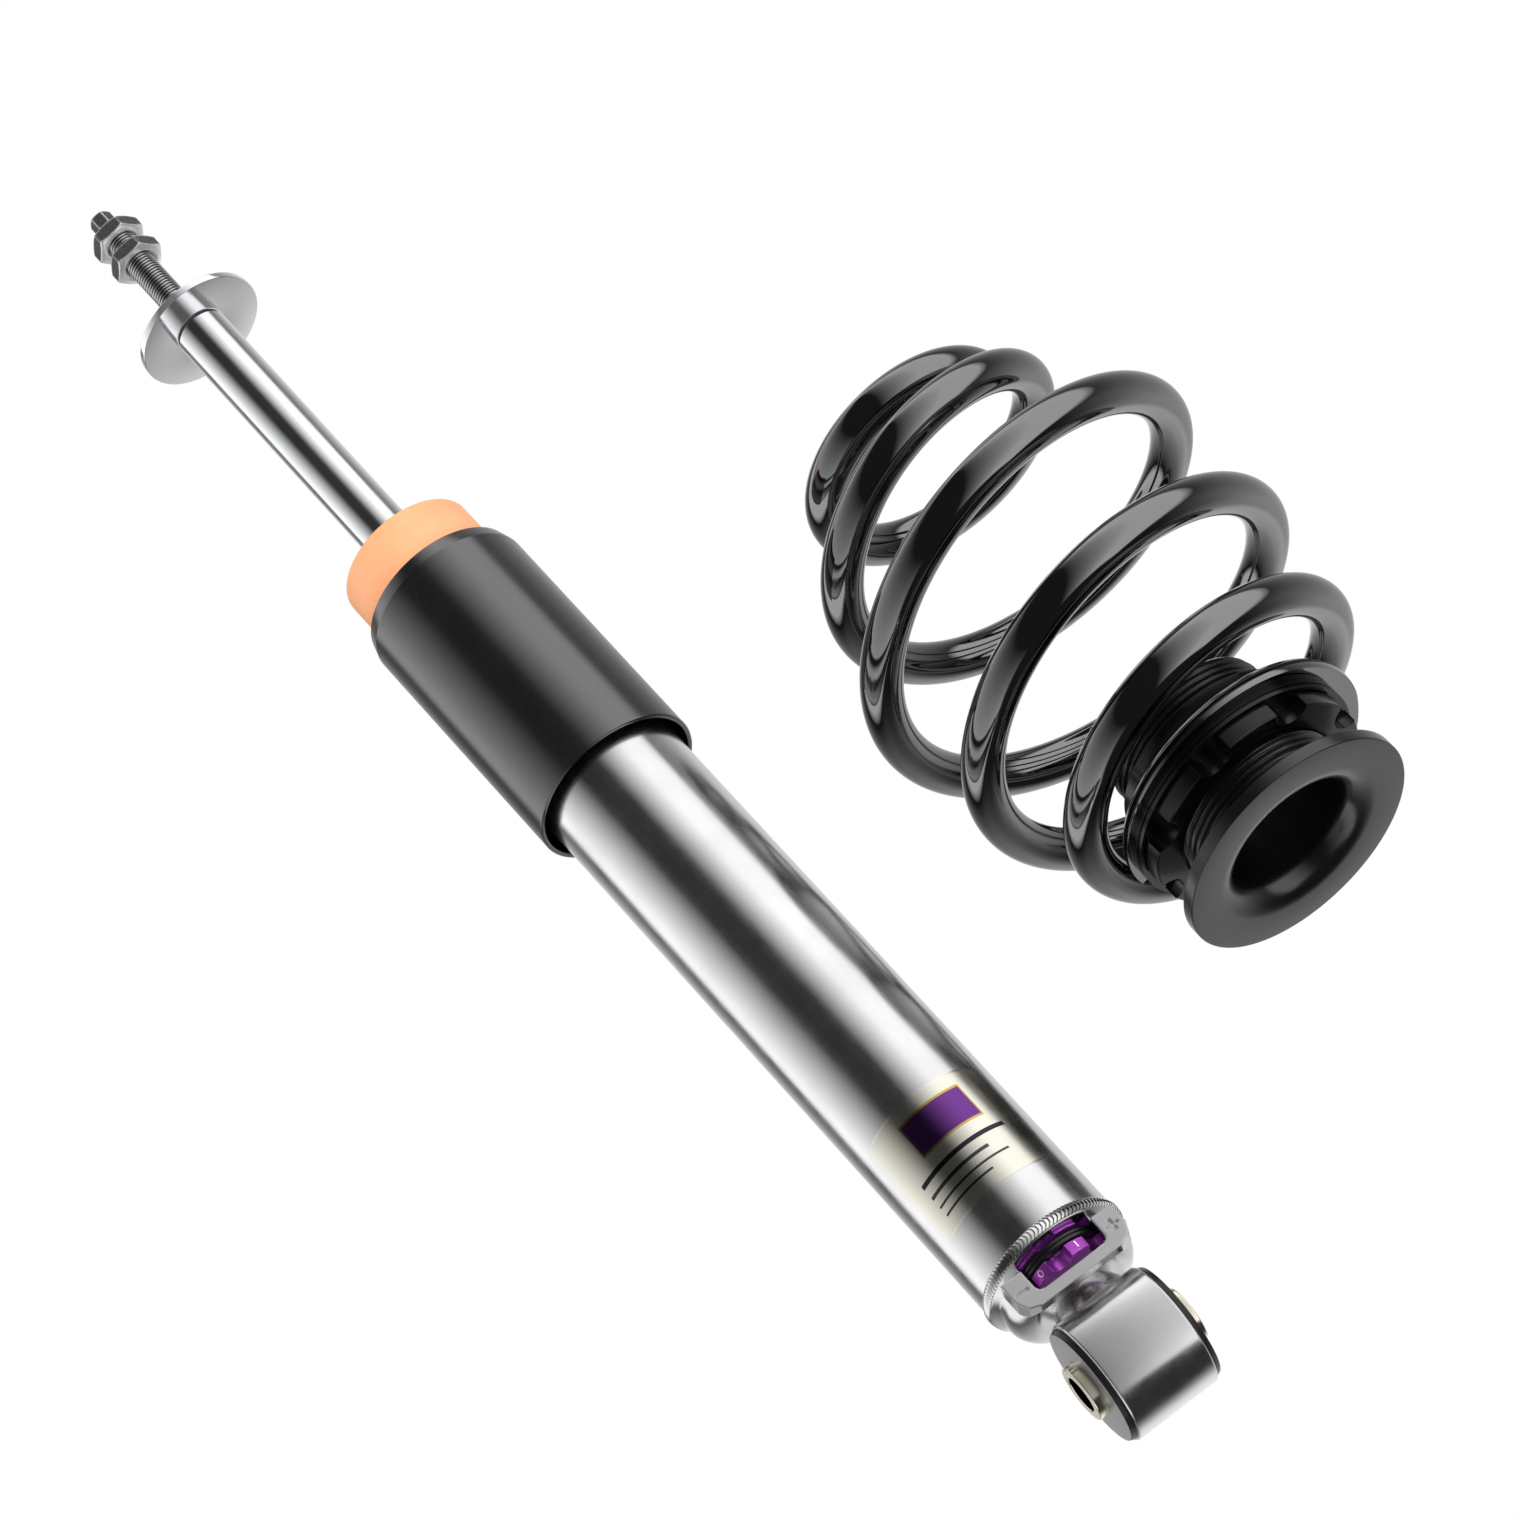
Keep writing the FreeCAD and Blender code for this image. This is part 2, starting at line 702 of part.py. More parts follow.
def make_base_plug():
    """Closes the oil space over the dial; the needle turns in its bore."""
    outer = S.tube_inner - 0.05
    height = S.plug_top - S.plug_bottom
    groove = as_size(2.0)
    body = revolved("base_plug", [
        (0, 0),
        (outer, 0),
        (outer, groove),
        (outer - 2, groove),
        (outer - 2, groove * 2.1),
        (outer, groove * 2.1),
        (outer, height),
        (0, height),
    ])
    place(body, z=S.plug_bottom)
    cut_needle_bore(body, height)
    sketch = new_sketch(body, "ball_hole_outline", "XY_Plane")
    draw_circle(sketch, 0, S.ball_offset, S.ball_radius + S.running_gap)
    hole = cut_through(body, sketch, "ball_hole", height - 0.8)
    hole.Reversed = True
    doc.recompute()
    return body


def make_plug_o_ring():
    cord = as_size(1.0)
    seal = doc.addObject("Part::Torus", "plug_o_ring")
    bind(seal, "Radius1", S.tube_inner - 0.02 - cord)
    bind(seal, "Radius2", cord)
    place(seal, z=S.plug_bottom + 3.1)
    return seal


# ---- base valve and working cylinder ------------------------------------------------------------

def cut_ports(body, name, level, depth, offset, radius, count):
    """Oil passages in a circle, cut down from a level in the body's own frame."""
    sketch = new_sketch(body, name + "_outline", "XY_Plane", level)
    draw_circle(sketch, 0, offset, radius)
    pocket = cut_through(body, sketch, name, depth)
    repeat_round(body, pocket, name + "_circle", count)


def make_base_valve_body():
    seat = S.cylinder_bottom - S.plug_top
    height = S.valve_top - S.plug_top
    body = revolved("base_valve_body", [
        (0, 0),
        (S.cylinder_outer + 3, 0),
        (S.cylinder_outer + 3, seat),
        (S.cylinder_inner, seat),
        (S.cylinder_inner, height),
        (0, height),
    ])
    place(body, z=S.plug_top)
    cut_needle_bore(body, height)
    cut_ports(body, "valve_ports", height, height, S.valve_port_circle, 1.4, 6)
    return body


def make_base_valve_shims():
    return ring("base_valve_shims", 9.0, S.cylinder_inner - 1.0, S.valve_top, 1.2)


def make_inner_cylinder():
    height = S.guide_bottom - S.cylinder_bottom
    return ring("inner_cylinder", S.cylinder_inner, S.cylinder_outer, S.cylinder_bottom, height)


# ---- piston and rod -------------------------------------------------------------------------------

def make_piston_rod():
    """Hollow chromed rod with its piston stub below and its threaded pin above."""
    bore = S.spindle_radius + S.running_gap
    edge = 1.0
    base = S.rod_end
    body = revolved("piston_rod", [
        (bore, 0),
        (S.stub_radius - edge, 0),
        (S.stub_radius, edge),
        (S.stub_radius, S.rod_step - base),
        (S.rod_radius, S.rod_step - base),
        (S.rod_radius, S.rod_shoulder - base),
        (S.pin_radius, S.rod_shoulder - base),
        (S.pin_radius, S.pin_end - edge - base),
        (S.pin_radius - edge, S.pin_end - base),
        (bore, S.pin_end - base),
    ])
    place(body, z=base)
    first = S.rod_shoulder + S.washer_height + 1.5 - base
    cut_thread(body, S.pin_radius, first, S.pin_pitch, S.pin_thread_count)
    return body


def make_piston():
    """Two rows of ports and a groove for the sliding band."""
    band_low = as_size(5.0)
    band_high = as_size(13.0)
    groove = S.piston_radius - 1.2
    body = revolved("piston", [
        (S.stub_radius, 0),
        (S.piston_radius, 0),
        (S.piston_radius, band_low),
        (groove, band_low),
        (groove, band_high),
        (S.piston_radius, band_high),
        (S.piston_radius, S.piston_height),
        (S.stub_radius, S.piston_height),
    ])
    place(body, z=S.piston_bottom)
    cut_ports(body, "piston_ports", S.piston_height, S.piston_height, 9.5, 1.5, 8)
    return body


def make_piston_band():
    outer = S.cylinder_inner - 0.04
    return ring("piston_band", S.piston_radius - 1.2, outer, S.piston_bottom + 5.2, 7.6)


def make_valve_discs(label, bottom):
    return ring(label, S.stub_radius, S.shim_radius, bottom, 3.0)


def hexagon(label, flats, bottom, height, bore, edge, turn=0):
    """A hexagonal piece with turned-off corners at both ends."""
    blank = doc.addObject("Part::Prism", label + "_blank")
    blank.Polygon = 6
    corner_ratio = 2 / math.sqrt(3)
    bind(blank, "Circumradius", flats / 2 * corner_ratio)
    bind(blank, "Height", height)
    bind(blank, "Placement.Rotation.Angle", turn)
    place(blank, z=bottom)
    corner = flats / 2 * corner_ratio
    turned = revolved(label + "_turned", [
        (bore, 0),
        (corner - edge * 2, 0),
        (corner, edge),
        (corner, as_size(height) - edge),
        (corner - edge * 2, height),
        (bore, height),
    ])
    place(turned, z=bottom)
    piece = doc.addObject("Part::Common", label)
    piece.Base = blank
    piece.Tool = turned
    return piece


def make_piston_nut():
    bottom = S.piston_bottom - 3.0 - 9.0
    return hexagon("piston_nut", as_size(19.0), bottom, 9.0, S.stub_radius, 0.8)


def make_rebound_stop():
    return ring("rebound_stop", S.rod_radius, S.rod_radius + 3.4, S.stop_bottom,
                S.guide_bottom - 0.1 - S.stop_bottom)


def make_top_washer():
    edge = 0.5
    body = revolved("top_washer", [
        (S.pin_radius + S.running_gap, 0),
        (S.washer_radius - edge, 0),
        (S.washer_radius, edge),
        (S.washer_radius, S.washer_height - edge),
        (S.washer_radius - edge, S.washer_height),
        (S.pin_radius + S.running_gap, S.washer_height),
    ])
    place(body, z=S.rod_shoulder)
    return body


def make_pin_nut(label, bottom):
    return hexagon(label, S.nut_flats, bottom, S.nut_height, S.pin_radius, 0.7, S.pin_hex_turn)


def make_rebound_adjuster():
    """Hexagonal tip with a domed end, and the long spindle that turns the piston's needle."""
    tip_base = S.pin_end + 0.3
    tip = hexagon("adjuster_tip", S.knob_flats, tip_base, S.knob_top - tip_base, 0, 1.0,
                  S.pin_hex_turn)
    spindle = doc.addObject("Part::Cylinder", "adjuster_spindle")
    bind(spindle, "Radius", S.spindle_radius)
    bind(spindle, "Height", tip_base - S.rod_end - 4 + 1)
    place(spindle, z=S.rod_end + 4)
    piece = doc.addObject("Part::Fuse", "rebound_adjuster")
    piece.Base = tip
    piece.Tool = spindle
    return piece


# ---- rod guide and closing parts ---------------------------------------------------------------------

def make_rod_guide():
    bush_radius = S.rod_radius + 1.5
    seat = as_size(6.0)
    height = S.guide_top - S.guide_bottom
    outer = S.tube_inner - 0.05
    groove_low = height - 4
    body = revolved("rod_guide", [
        (bush_radius, 0),
        (S.cylinder_outer + 3, 0),
        (outer, seat),
        (outer, groove_low),
        (outer - 2, groove_low),
        (outer - 2, groove_low + 2.4),
        (outer, groove_low + 2.4),
        (outer, height),
        (bush_radius, height),
    ])
    place(body, z=S.guide_bottom)
    return body


def make_guide_bush():
    height = S.guide_top - S.guide_bottom
    inner = S.rod_radius + S.running_gap
    return ring("guide_bush", inner, S.rod_radius + 1.5, S.guide_bottom, height)


def make_guide_o_ring():
    cord = as_size(0.98)
    seal = doc.addObject("Part::Torus", "guide_o_ring")
    bind(seal, "Radius1", S.tube_inner - 0.02 - cord)
    bind(seal, "Radius2", cord)
    place(seal, z=S.guide_top - 4 + 1.2)
    return seal


def make_rod_seal():
    """Lip seal: a rubber ring whose lip leans in to the rod."""
    height = S.seal_top - S.guide_top
    lip = S.rod_radius + S.running_gap
    body = revolved("rod_seal", [
        (lip, 0),
        (S.rod_radius + 6, 0),
        (S.rod_radius + 6, height),
        (S.rod_radius + 1.5, height),
        (lip, height - 0.8),
    ])
    place(body, z=S.guide_top)
    return body


def make_tube_cap():
    """Screwed into the tube over the seal; its flange covers the tube's end."""
    seal_room = S.seal_top - S.guide_top
    collar = S.tube_top - S.guide_top
    height = S.cap_top - S.guide_top
    bore = S.rod_radius + 0.5
    inner = S.tube_inner - 0.05
    body = revolved("tube_cap", [
        (S.rod_radius + 6, 0),
        (inner, 0),
        (inner, collar),
        (S.tube_radius, collar),
        (S.tube_radius, height),
        (bore, height),
        (bore, seal_room),
        (S.rod_radius + 6, seal_room),
    ])
    place(body, z=S.guide_top)
    return body


# ---- bump stop and dust sleeve ----------------------------------------------------------------------------

def make_bump_stop():
    """Foam stop with two waists, of which only the head stands out of the dust sleeve."""
    bore = S.rod_radius + S.running_gap
    height = S.stop_top - S.cap_top
    neck = S.boot_top - 3 - S.cap_top
    waist = S.stop_radius - 4
    body = revolved("bump_stop", [
        (bore, 0),
        (S.stop_radius - 2, 0),
        (S.stop_radius - 1, 6),
        (waist, 10),
        (S.stop_radius - 1, 14),
        (S.stop_radius - 1, 17),
        (waist, 20.5),
        (S.stop_radius, neck),
        (S.stop_radius, height),
        (bore, height),
    ])
    place(body, z=S.cap_top)
    dress_edges(body, "Fillet", S.stop_rounding, [(S.stop_radius, height)])
    return body


def make_dust_sleeve():
    """Thin tube, open below; its upper end tapers to a collar that grips the bump stop."""
    wall = S.boot_wall
    shoulder = S.boot_shoulder - S.boot_bottom
    height = S.boot_top - S.boot_bottom
    grip = S.stop_radius + 0.02
    body = revolved("dust_sleeve", [
        (S.boot_radius - wall, 0),
        (S.boot_radius, 0),
        (S.boot_radius, shoulder),
        (S.boot_rim_radius, height),
        (grip, height),
        (grip, height - 5),
        (S.boot_radius - wall - 0.6, shoulder - 5),
        (S.boot_radius - wall, shoulder - 7),
    ])
    place(body, z=S.boot_bottom)
    return body


# ---- spring unit --------------------------------------------------------------------------------------------

def make_perch_base():
    """Flanged foot with a wide rounded mouth, and the threaded tube that carries the ring."""
    edge = 1.2
    body = revolved("perch_base", [
        (S.perch_bore, 0),
        (S.flange_radius, 0),
        (S.flange_radius, S.flange_height),
        (S.perch_thread, S.flange_height),
        (S.perch_thread, S.perch_height - edge),
        (S.perch_thread - edge, S.perch_height),
        (S.perch_bore, S.perch_height),
    ])
    place(body, x=S.spring_axis, z=S.perch_bottom)
    # The mouth's rounding is taller than the flange and runs on inside the tube.
    mouth = S.perch_mouth * 0.72
    dress_edges(body, "Fillet", mouth, [(S.perch_bore, 0)])
    cut_thread(body, S.perch_thread, S.flange_height + 2.4, S.perch_pitch,
               S.perch_thread_count)
    return body


def make_adjuster_ring():
    """Notched ring with a lip and a turned groove below it; the spring sits round its collar."""
    bore = S.perch_thread + S.running_gap
    low = S.ring_lip_bottom
    groove = S.ring_groove
    middle = low + groove * 2
    body = revolved("adjuster_ring", [
        (bore, 0.6),
        (bore + 0.8, 0),
        (S.ring_radius - 0.5, 0),
        (S.ring_radius, 0.5),
        (S.ring_radius, low - groove),
        (S.ring_radius - groove, low - groove),
        (S.ring_radius - groove, low),
        (S.ring_lip_radius, low),
        (S.ring_lip_radius, middle),
        (S.ring_lip_radius - groove, middle),
        (S.ring_lip_radius - groove, middle + groove),
        (S.ring_lip_radius, middle + groove),
        (S.ring_lip_radius, S.seat_height),
        (S.collar_radius, S.seat_height),
        (S.collar_radius, S.ring_height - 1.2),
        (S.collar_radius - 1.2, S.ring_height),
        (bore, S.ring_height),
    ])
    place(body, x=S.spring_axis, z=S.ring_bottom)
    bind(body, "Placement.Rotation.Angle", S.notch_start - 90)
    sketch = new_sketch(body, "notch_outline", "XY_Plane", low)
    draw_circle(sketch, 0, S.ring_radius + 0.2, S.notch_radius)
    notch = cut_through(body, sketch, "notch", low + 1)
    repeat_round(body, notch, "notches", S.notch_count)
    return body


def make_coil_spring():
    """Barrel spring: wire swept along a curve of changing radius, ground flat below."""
    axis = S.spring_axis.value
    points = []
    for turn, height, radius in smooth_course(SPRING_COURSE, 22.5):
        angle = math.radians(turn)
        points.append(FreeCAD.Vector(
            axis + radius * math.cos(angle), radius * math.sin(angle), height))
    curve = Part.BSplineCurve()
    curve.interpolate(points)
    path = Part.Wire(curve.toShape())
    start = curve.tangent(curve.FirstParameter)[0]
    section = Part.Wire(Part.makeCircle(S.wire_radius.value, points[0], start))
    sweep = doc.addObject("Part::Feature", "spring_wire")
    sweep.Shape = path.makePipeShell([section], True, False)
    grind = doc.addObject("Part::Cylinder", "spring_grind")
    bind(grind, "Radius", S.ring_lip_radius * 2)
    bind(grind, "Height", S.wire_radius * 4)
    place(grind, x=S.spring_axis, z=S.ring_bottom + S.seat_height - S.wire_radius * 4)
    spring = doc.addObject("Part::Cut", "coil_spring")
    spring.Base = sweep
    spring.Tool = grind
    return spring


def smooth_course(knots, step):
    """Points every step degrees on a smooth curve through the knots (cubic Hermite)."""
    slopes = [course_slope(knots, number) for number in range(len(knots))]
    points = []
    turn = knots[0][0]
    span = 0
    while turn <= knots[-1][0]:
        while turn > knots[span + 1][0]:
            span += 1
        low, high = knots[span], knots[span + 1]
        width = high[0] - low[0]
        part = (turn - low[0]) / width
        values = [
            hermite(low[k], high[k], slopes[span][k - 1] * width,
                    slopes[span + 1][k - 1] * width, part)
            for k in (1, 2)
        ]
        points.append((turn, values[0], values[1]))
        turn += step
    return points


def course_slope(knots, number):
    """Slopes of height and radius at one knot, from its neighbours."""
    before = knots[max(number - 1, 0)]
    after = knots[min(number + 1, len(knots) - 1)]
    width = after[0] - before[0]
    return [(after[k] - before[k]) / width for k in (1, 2)]


def hermite(low, high, low_slope, high_slope, part):
    square = part * part
    cube = square * part
    return (low * (2 * cube - 3 * square + 1) + low_slope * (cube - 2 * square + part)
            + high * (3 * square - 2 * cube) + high_slope * (cube - square))


# ---- build, check and write ------------------------------------------------------------------------------------

def build_all():
    return [
        make_eye_ring(),
        make_eye_bush(),
        make_eye_sleeve(),
        make_eye_weld(),
        make_base_housing(),
        make_base_weld(),
        make_body_tube(),
        make_label_plate(),
        make_compression_dial(),
        make_dial_seal(),
        make_compression_needle(),
        make_detent_ball(),
        make_detent_spring(),
        make_base_plug(),
        make_plug_o_ring(),
        make_base_valve_body(),
        make_base_valve_shims(),
        make_inner_cylinder(),
        make_piston_rod(),
        make_piston(),
        make_piston_band(),
        make_valve_discs("compression_shims", S.piston_bottom + S.piston_height),
        make_valve_discs("rebound_shims", S.piston_bottom - 3.0),
        make_piston_nut(),
        make_rebound_stop(),
        make_rod_guide(),
        make_guide_bush(),
        make_guide_o_ring(),
        make_rod_seal(),
        make_tube_cap(),
        make_bump_stop(),
        make_dust_sleeve(),
        make_top_washer(),
        make_pin_nut("lower_nut", S.lower_nut_base),
        make_pin_nut("upper_nut", S.upper_nut_base),
        make_rebound_adjuster(),
        make_perch_base(),
        make_adjuster_ring(),
        make_coil_spring(),
    ]


def check_document():
    for item in doc.Objects:
        if "Invalid" in item.State or "Error" in item.State:
            raise RuntimeError(f"{item.Label} failed: {item.State}")


def check_piece(piece):
    if piece.Shape.isNull() or not piece.Shape.isValid():
        raise RuntimeError(f"{piece.Label} has no valid shape")
    print(f"{piece.Label:20s} solids {len(piece.Shape.Solids)} volume {piece.Shape.Volume:10.1f}")


pieces = build_all()
doc.recompute()
check_document()
os.makedirs(PARTS_FOLDER, exist_ok=True)
for piece in pieces:
    check_piece(piece)
for piece in pieces:
    piece.Shape.exportStep(os.path.join(PARTS_FOLDER, piece.Label + ".step"))
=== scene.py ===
"""Looks of the rear coilover set: damper, spring, perch, materials, studio light and camera."""
import json
import math

import bmesh
import bpy
import numpy as np
from mathutils import Matrix, Vector


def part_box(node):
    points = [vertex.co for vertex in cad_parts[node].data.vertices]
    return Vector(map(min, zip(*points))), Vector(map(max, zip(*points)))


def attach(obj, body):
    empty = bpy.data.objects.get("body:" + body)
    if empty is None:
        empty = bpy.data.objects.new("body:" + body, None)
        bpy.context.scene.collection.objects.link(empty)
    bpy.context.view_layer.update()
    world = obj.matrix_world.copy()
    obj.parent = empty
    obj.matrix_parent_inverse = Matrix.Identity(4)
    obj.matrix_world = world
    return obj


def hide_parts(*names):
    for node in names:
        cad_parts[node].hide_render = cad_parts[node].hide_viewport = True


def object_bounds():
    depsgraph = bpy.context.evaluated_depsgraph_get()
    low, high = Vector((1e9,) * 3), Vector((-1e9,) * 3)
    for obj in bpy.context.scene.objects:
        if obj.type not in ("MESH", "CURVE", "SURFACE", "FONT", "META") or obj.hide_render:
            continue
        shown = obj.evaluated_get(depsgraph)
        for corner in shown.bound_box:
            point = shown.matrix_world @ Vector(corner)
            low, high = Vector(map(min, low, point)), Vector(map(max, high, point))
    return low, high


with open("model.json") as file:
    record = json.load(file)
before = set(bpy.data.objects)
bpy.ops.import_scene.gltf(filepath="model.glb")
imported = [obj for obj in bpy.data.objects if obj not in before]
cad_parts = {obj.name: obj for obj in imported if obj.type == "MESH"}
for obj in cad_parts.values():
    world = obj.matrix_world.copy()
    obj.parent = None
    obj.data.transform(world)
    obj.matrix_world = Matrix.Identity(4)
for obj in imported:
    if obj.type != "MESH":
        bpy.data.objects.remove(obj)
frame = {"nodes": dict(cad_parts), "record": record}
CAD_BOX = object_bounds()

MM = 0.001
SHARP_ANGLE = math.radians(32)
TURN = 2 * math.pi

# The tube's weld bead: scales round the tube, how far a scale's ends lag behind its middle, and
# the bead's level and half width in metres.
WELD_SCALES = 112
WELD_LAG = 1.1
WELD_LEVEL = 0.040
WELD_HALF_WIDTH = 0.0022

# The pin's thread and the dial, in millimetres.
PIN_CREST = 5.0
PIN_PITCH = 1.25
DIAL_RADIUS = 16.0
DIAL_FORWARD = 5.0


def span(node):
    """Lowest and highest corner of a CAD node, in millimetres."""
    low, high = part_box(node)
    return low / MM, high / MM


# ---- materials -------------------------------------------------------------------------------

class Finish:
    """A node material with one principled shader and short calls to build on it."""

    def __init__(self, name, **values):
        self.material = bpy.data.materials.new(name)
        self.material.use_nodes = True
        self.tree = self.material.node_tree
        self.shader = self.tree.nodes["Principled BSDF"]
        self.coordinates = self.node("ShaderNodeTexCoord").outputs["Object"]
        self.normal = None
        for key, value in values.items():
            self.set(key.replace("_", " "), value)

    def node(self, kind, **inputs):
        item = self.tree.nodes.new(kind)
        for key, value in inputs.items():
            self.feed(item.inputs[key.replace("_", " ")], value)
        return item

    def feed(self, socket, value):
        if isinstance(value, bpy.types.NodeSocket):
            self.tree.links.new(value, socket)
        elif isinstance(value, tuple) and len(value) == 3 and socket.type == "RGBA":
            socket.default_value = (*value, 1)
        else:
            socket.default_value = value

    def set(self, name, value):
        self.feed(self.shader.inputs[name], value)

    def math(self, operation, first, second=0.0, third=0.0, clamp=False):
        item = self.tree.nodes.new("ShaderNodeMath")
        item.operation = operation
        item.use_clamp = clamp
        for socket, value in zip(item.inputs, (first, second, third)):
            self.feed(socket, value)
        return item.outputs[0]

    def stretched(self, x=1.0, y=1.0, z=1.0):
        """Object coordinates scaled apart, for grain that runs one way."""
        mapping = self.node("ShaderNodeMapping", Vector=self.coordinates, Scale=(x, y, z))
        return mapping.outputs[0]

    def noise(self, scale, detail=4.0, where=None, rough=0.55):
        item = self.node("ShaderNodeTexNoise", Vector=where or self.coordinates,
                         Scale=scale, Detail=detail, Roughness=rough)
        return item.outputs[0]

    def cells(self, scale, feature="F1", where=None):
        item = self.node("ShaderNodeTexVoronoi", Vector=where or self.coordinates, Scale=scale)
        item.feature = feature
        return item.outputs["Distance"]

    def between(self, source, low, high, out_low=0.0, out_high=1.0):
        """Source mapped from low..high to out_low..out_high, clamped."""
        item = self.node("ShaderNodeMapRange")
        for socket, value in zip(item.inputs, (source, low, high, out_low, out_high)):
            self.feed(socket, value)
        return item.outputs[0]

    def mix(self, factor, first, second):
        item = self.tree.nodes.new("ShaderNodeMix")
        item.data_type = "RGBA"
        self.feed(item.inputs["Factor"], factor)
        self.feed(item.inputs[6], first)
        self.feed(item.inputs[7], second)
        return item.outputs[2]

    def bump(self, height, strength, distance):
        item = self.node("ShaderNodeBump", Height=height, Strength=strength, Distance=distance)
        if self.normal is not None:
            self.feed(item.inputs["Normal"], self.normal)
        self.normal = item.outputs[0]
        self.set("Normal", self.normal)

    def soft_edges(self, radius):
        """Catches light on edges as if they were broken by that radius."""
        item = self.node("ShaderNodeBevel", Radius=radius)
        item.samples = 4
        self.normal = item.outputs[0]
        self.set("Normal", self.normal)

    def edge_mask(self, radius):
        """1 where a corner is nearer than radius, 0 on open faces."""
        bevel = self.node("ShaderNodeBevel", Radius=radius)
        bevel.samples = 4
        geometry = self.node("ShaderNodeNewGeometry")
        dot = self.tree.nodes.new("ShaderNodeVectorMath")
        dot.operation = "DOT_PRODUCT"
        self.feed(dot.inputs[0], bevel.outputs[0])
        self.feed(dot.inputs[1], geometry.outputs["Normal"])
        return self.between(dot.outputs["Value"], 0.995, 0.9)


def metal(name, color, roughness, spread, grain=(1.0, 1.0, 30.0), grain_depth=0.15,
          edge=0.0002, tint=0.9):
    """Bare or plated metal: directional grain, cloudy roughness and slightly uneven colour."""
    finish = Finish(name, Metallic=1.0)
    if edge:
        finish.soft_edges(edge)
    clouds = finish.noise(28.0, 5.0)
    brushed = finish.noise(900.0, 3.0, finish.stretched(*grain))
    smears = finish.noise(160.0, 6.0)
    darker = tuple(channel * tint for channel in color)
    finish.set("Base Color", finish.mix(finish.between(clouds, 0.35, 0.65), darker, color))
    base = finish.between(smears, 0.3, 0.7, roughness, roughness + spread)
    streak = finish.between(brushed, 0.3, 0.7, -spread * 0.5, spread * 0.5)
    finish.set("Roughness", finish.math("ADD", base, streak, clamp=True))
    finish.bump(brushed, grain_depth, 0.00002)
    return finish


def coated(name, color, roughness, gloss, orange_peel=0.1, edge=0.0002):
    """Black paint or powder coat; gloss is the refractive index that sets its mirror strength."""
    finish = Finish(name, IOR=gloss)
    if edge:
        finish.soft_edges(edge)
    clouds = finish.noise(40.0, 5.0)
    peel = finish.noise(420.0, 2.0)
    specks = finish.noise(2600.0, 2.0)
    lighter = tuple(channel * 1.5 + 0.0004 for channel in color)
    finish.set("Base Color", finish.mix(finish.between(clouds, 0.4, 0.7), color, lighter))
    finish.set("Roughness", finish.between(specks, 0.35, 0.75, roughness, roughness * 1.4))
    finish.bump(peel, orange_peel, 0.00003)
    return finish


def make_polished_steel():
    return metal("polished_steel", (0.80, 0.80, 0.81), 0.18, 0.05, grain=(1, 1, 0.05))


def make_hard_chrome():
    """Chrome; painted shadow darkens the gap under the disc and painted shade darkens the valleys
    of the pin's thread.
    """
    finish = metal("hard_chrome", (0.86, 0.87, 0.88), 0.16, 0.04, grain=(1, 1, 25))
    place = finish.node("ShaderNodeSeparateXYZ", Vector=finish.coordinates)
    pin = finish.between(place.outputs[2], 0.5146, 0.5150)
    # painted shadow: a near-black band in the gap just under the disc
    joint = finish.math("COMPARE", place.outputs[2], 0.51144, 0.00037)
    across = finish.math("MULTIPLY", place.outputs[0], place.outputs[0])
    square = finish.math("MULTIPLY_ADD", place.outputs[1], place.outputs[1], across)
    # painted shade: the thread's valleys are coloured dark, its crests lighter
    crest = finish.between(finish.math("SQRT", square), 0.91 * PIN_CREST * MM,
                           0.98 * PIN_CREST * MM)
    thread = finish.mix(crest, (0.06, 0.06, 0.06), (0.66, 0.66, 0.67))
    base = finish.shader.inputs["Base Color"].links[0].from_socket
    rough = finish.shader.inputs["Roughness"].links[0].from_socket
    finish.set("Base Color", finish.mix(joint, finish.mix(pin, base, thread), (0.02, 0.02, 0.02)))
    finish.set("Roughness", finish.math("MULTIPLY_ADD", pin, 0.15, rough))
    return finish


def make_satin_steel():
    return metal("satin_steel", (0.74, 0.74, 0.75), 0.17, 0.07, grain=(30, 1, 1), edge=0.0009)


def make_weld_steel():
    """Bright weld metal, with painted shade where one scale of the tube's bead meets the next."""
    finish = metal("weld_steel", (0.80, 0.80, 0.79), 0.22, 0.06, grain=(1, 1, 0.05),
                   grain_depth=0.06, edge=0)
    heat = finish.between(finish.noise(90.0, 3.0), 0.45, 0.7)
    color = finish.mix(heat, (0.80, 0.80, 0.80), (0.70, 0.67, 0.62))
    place = finish.node("ShaderNodeSeparateXYZ", Vector=finish.coordinates)
    turn = finish.math("DIVIDE", finish.math("ARCTAN2", place.outputs[1], place.outputs[0]), TURN)
    above = finish.math("SUBTRACT", place.outputs[2], WELD_LEVEL)
    across = finish.math("DIVIDE", above, WELD_HALF_WIDTH)
    lag = finish.math("MULTIPLY", finish.math("MULTIPLY", across, across), WELD_LAG)
    phase = finish.math("FRACT", finish.math("MULTIPLY_ADD", turn, WELD_SCALES, lag))
    # painted shade: the crease between two scales is coloured dark
    joint = finish.math("MULTIPLY", finish.between(phase, 0.55, 0.98),
                        finish.math("GREATER_THAN", above, -2 * WELD_HALF_WIDTH))
    finish.set("Base Color", finish.mix(joint, color, (0.05, 0.05, 0.05)))
    return finish


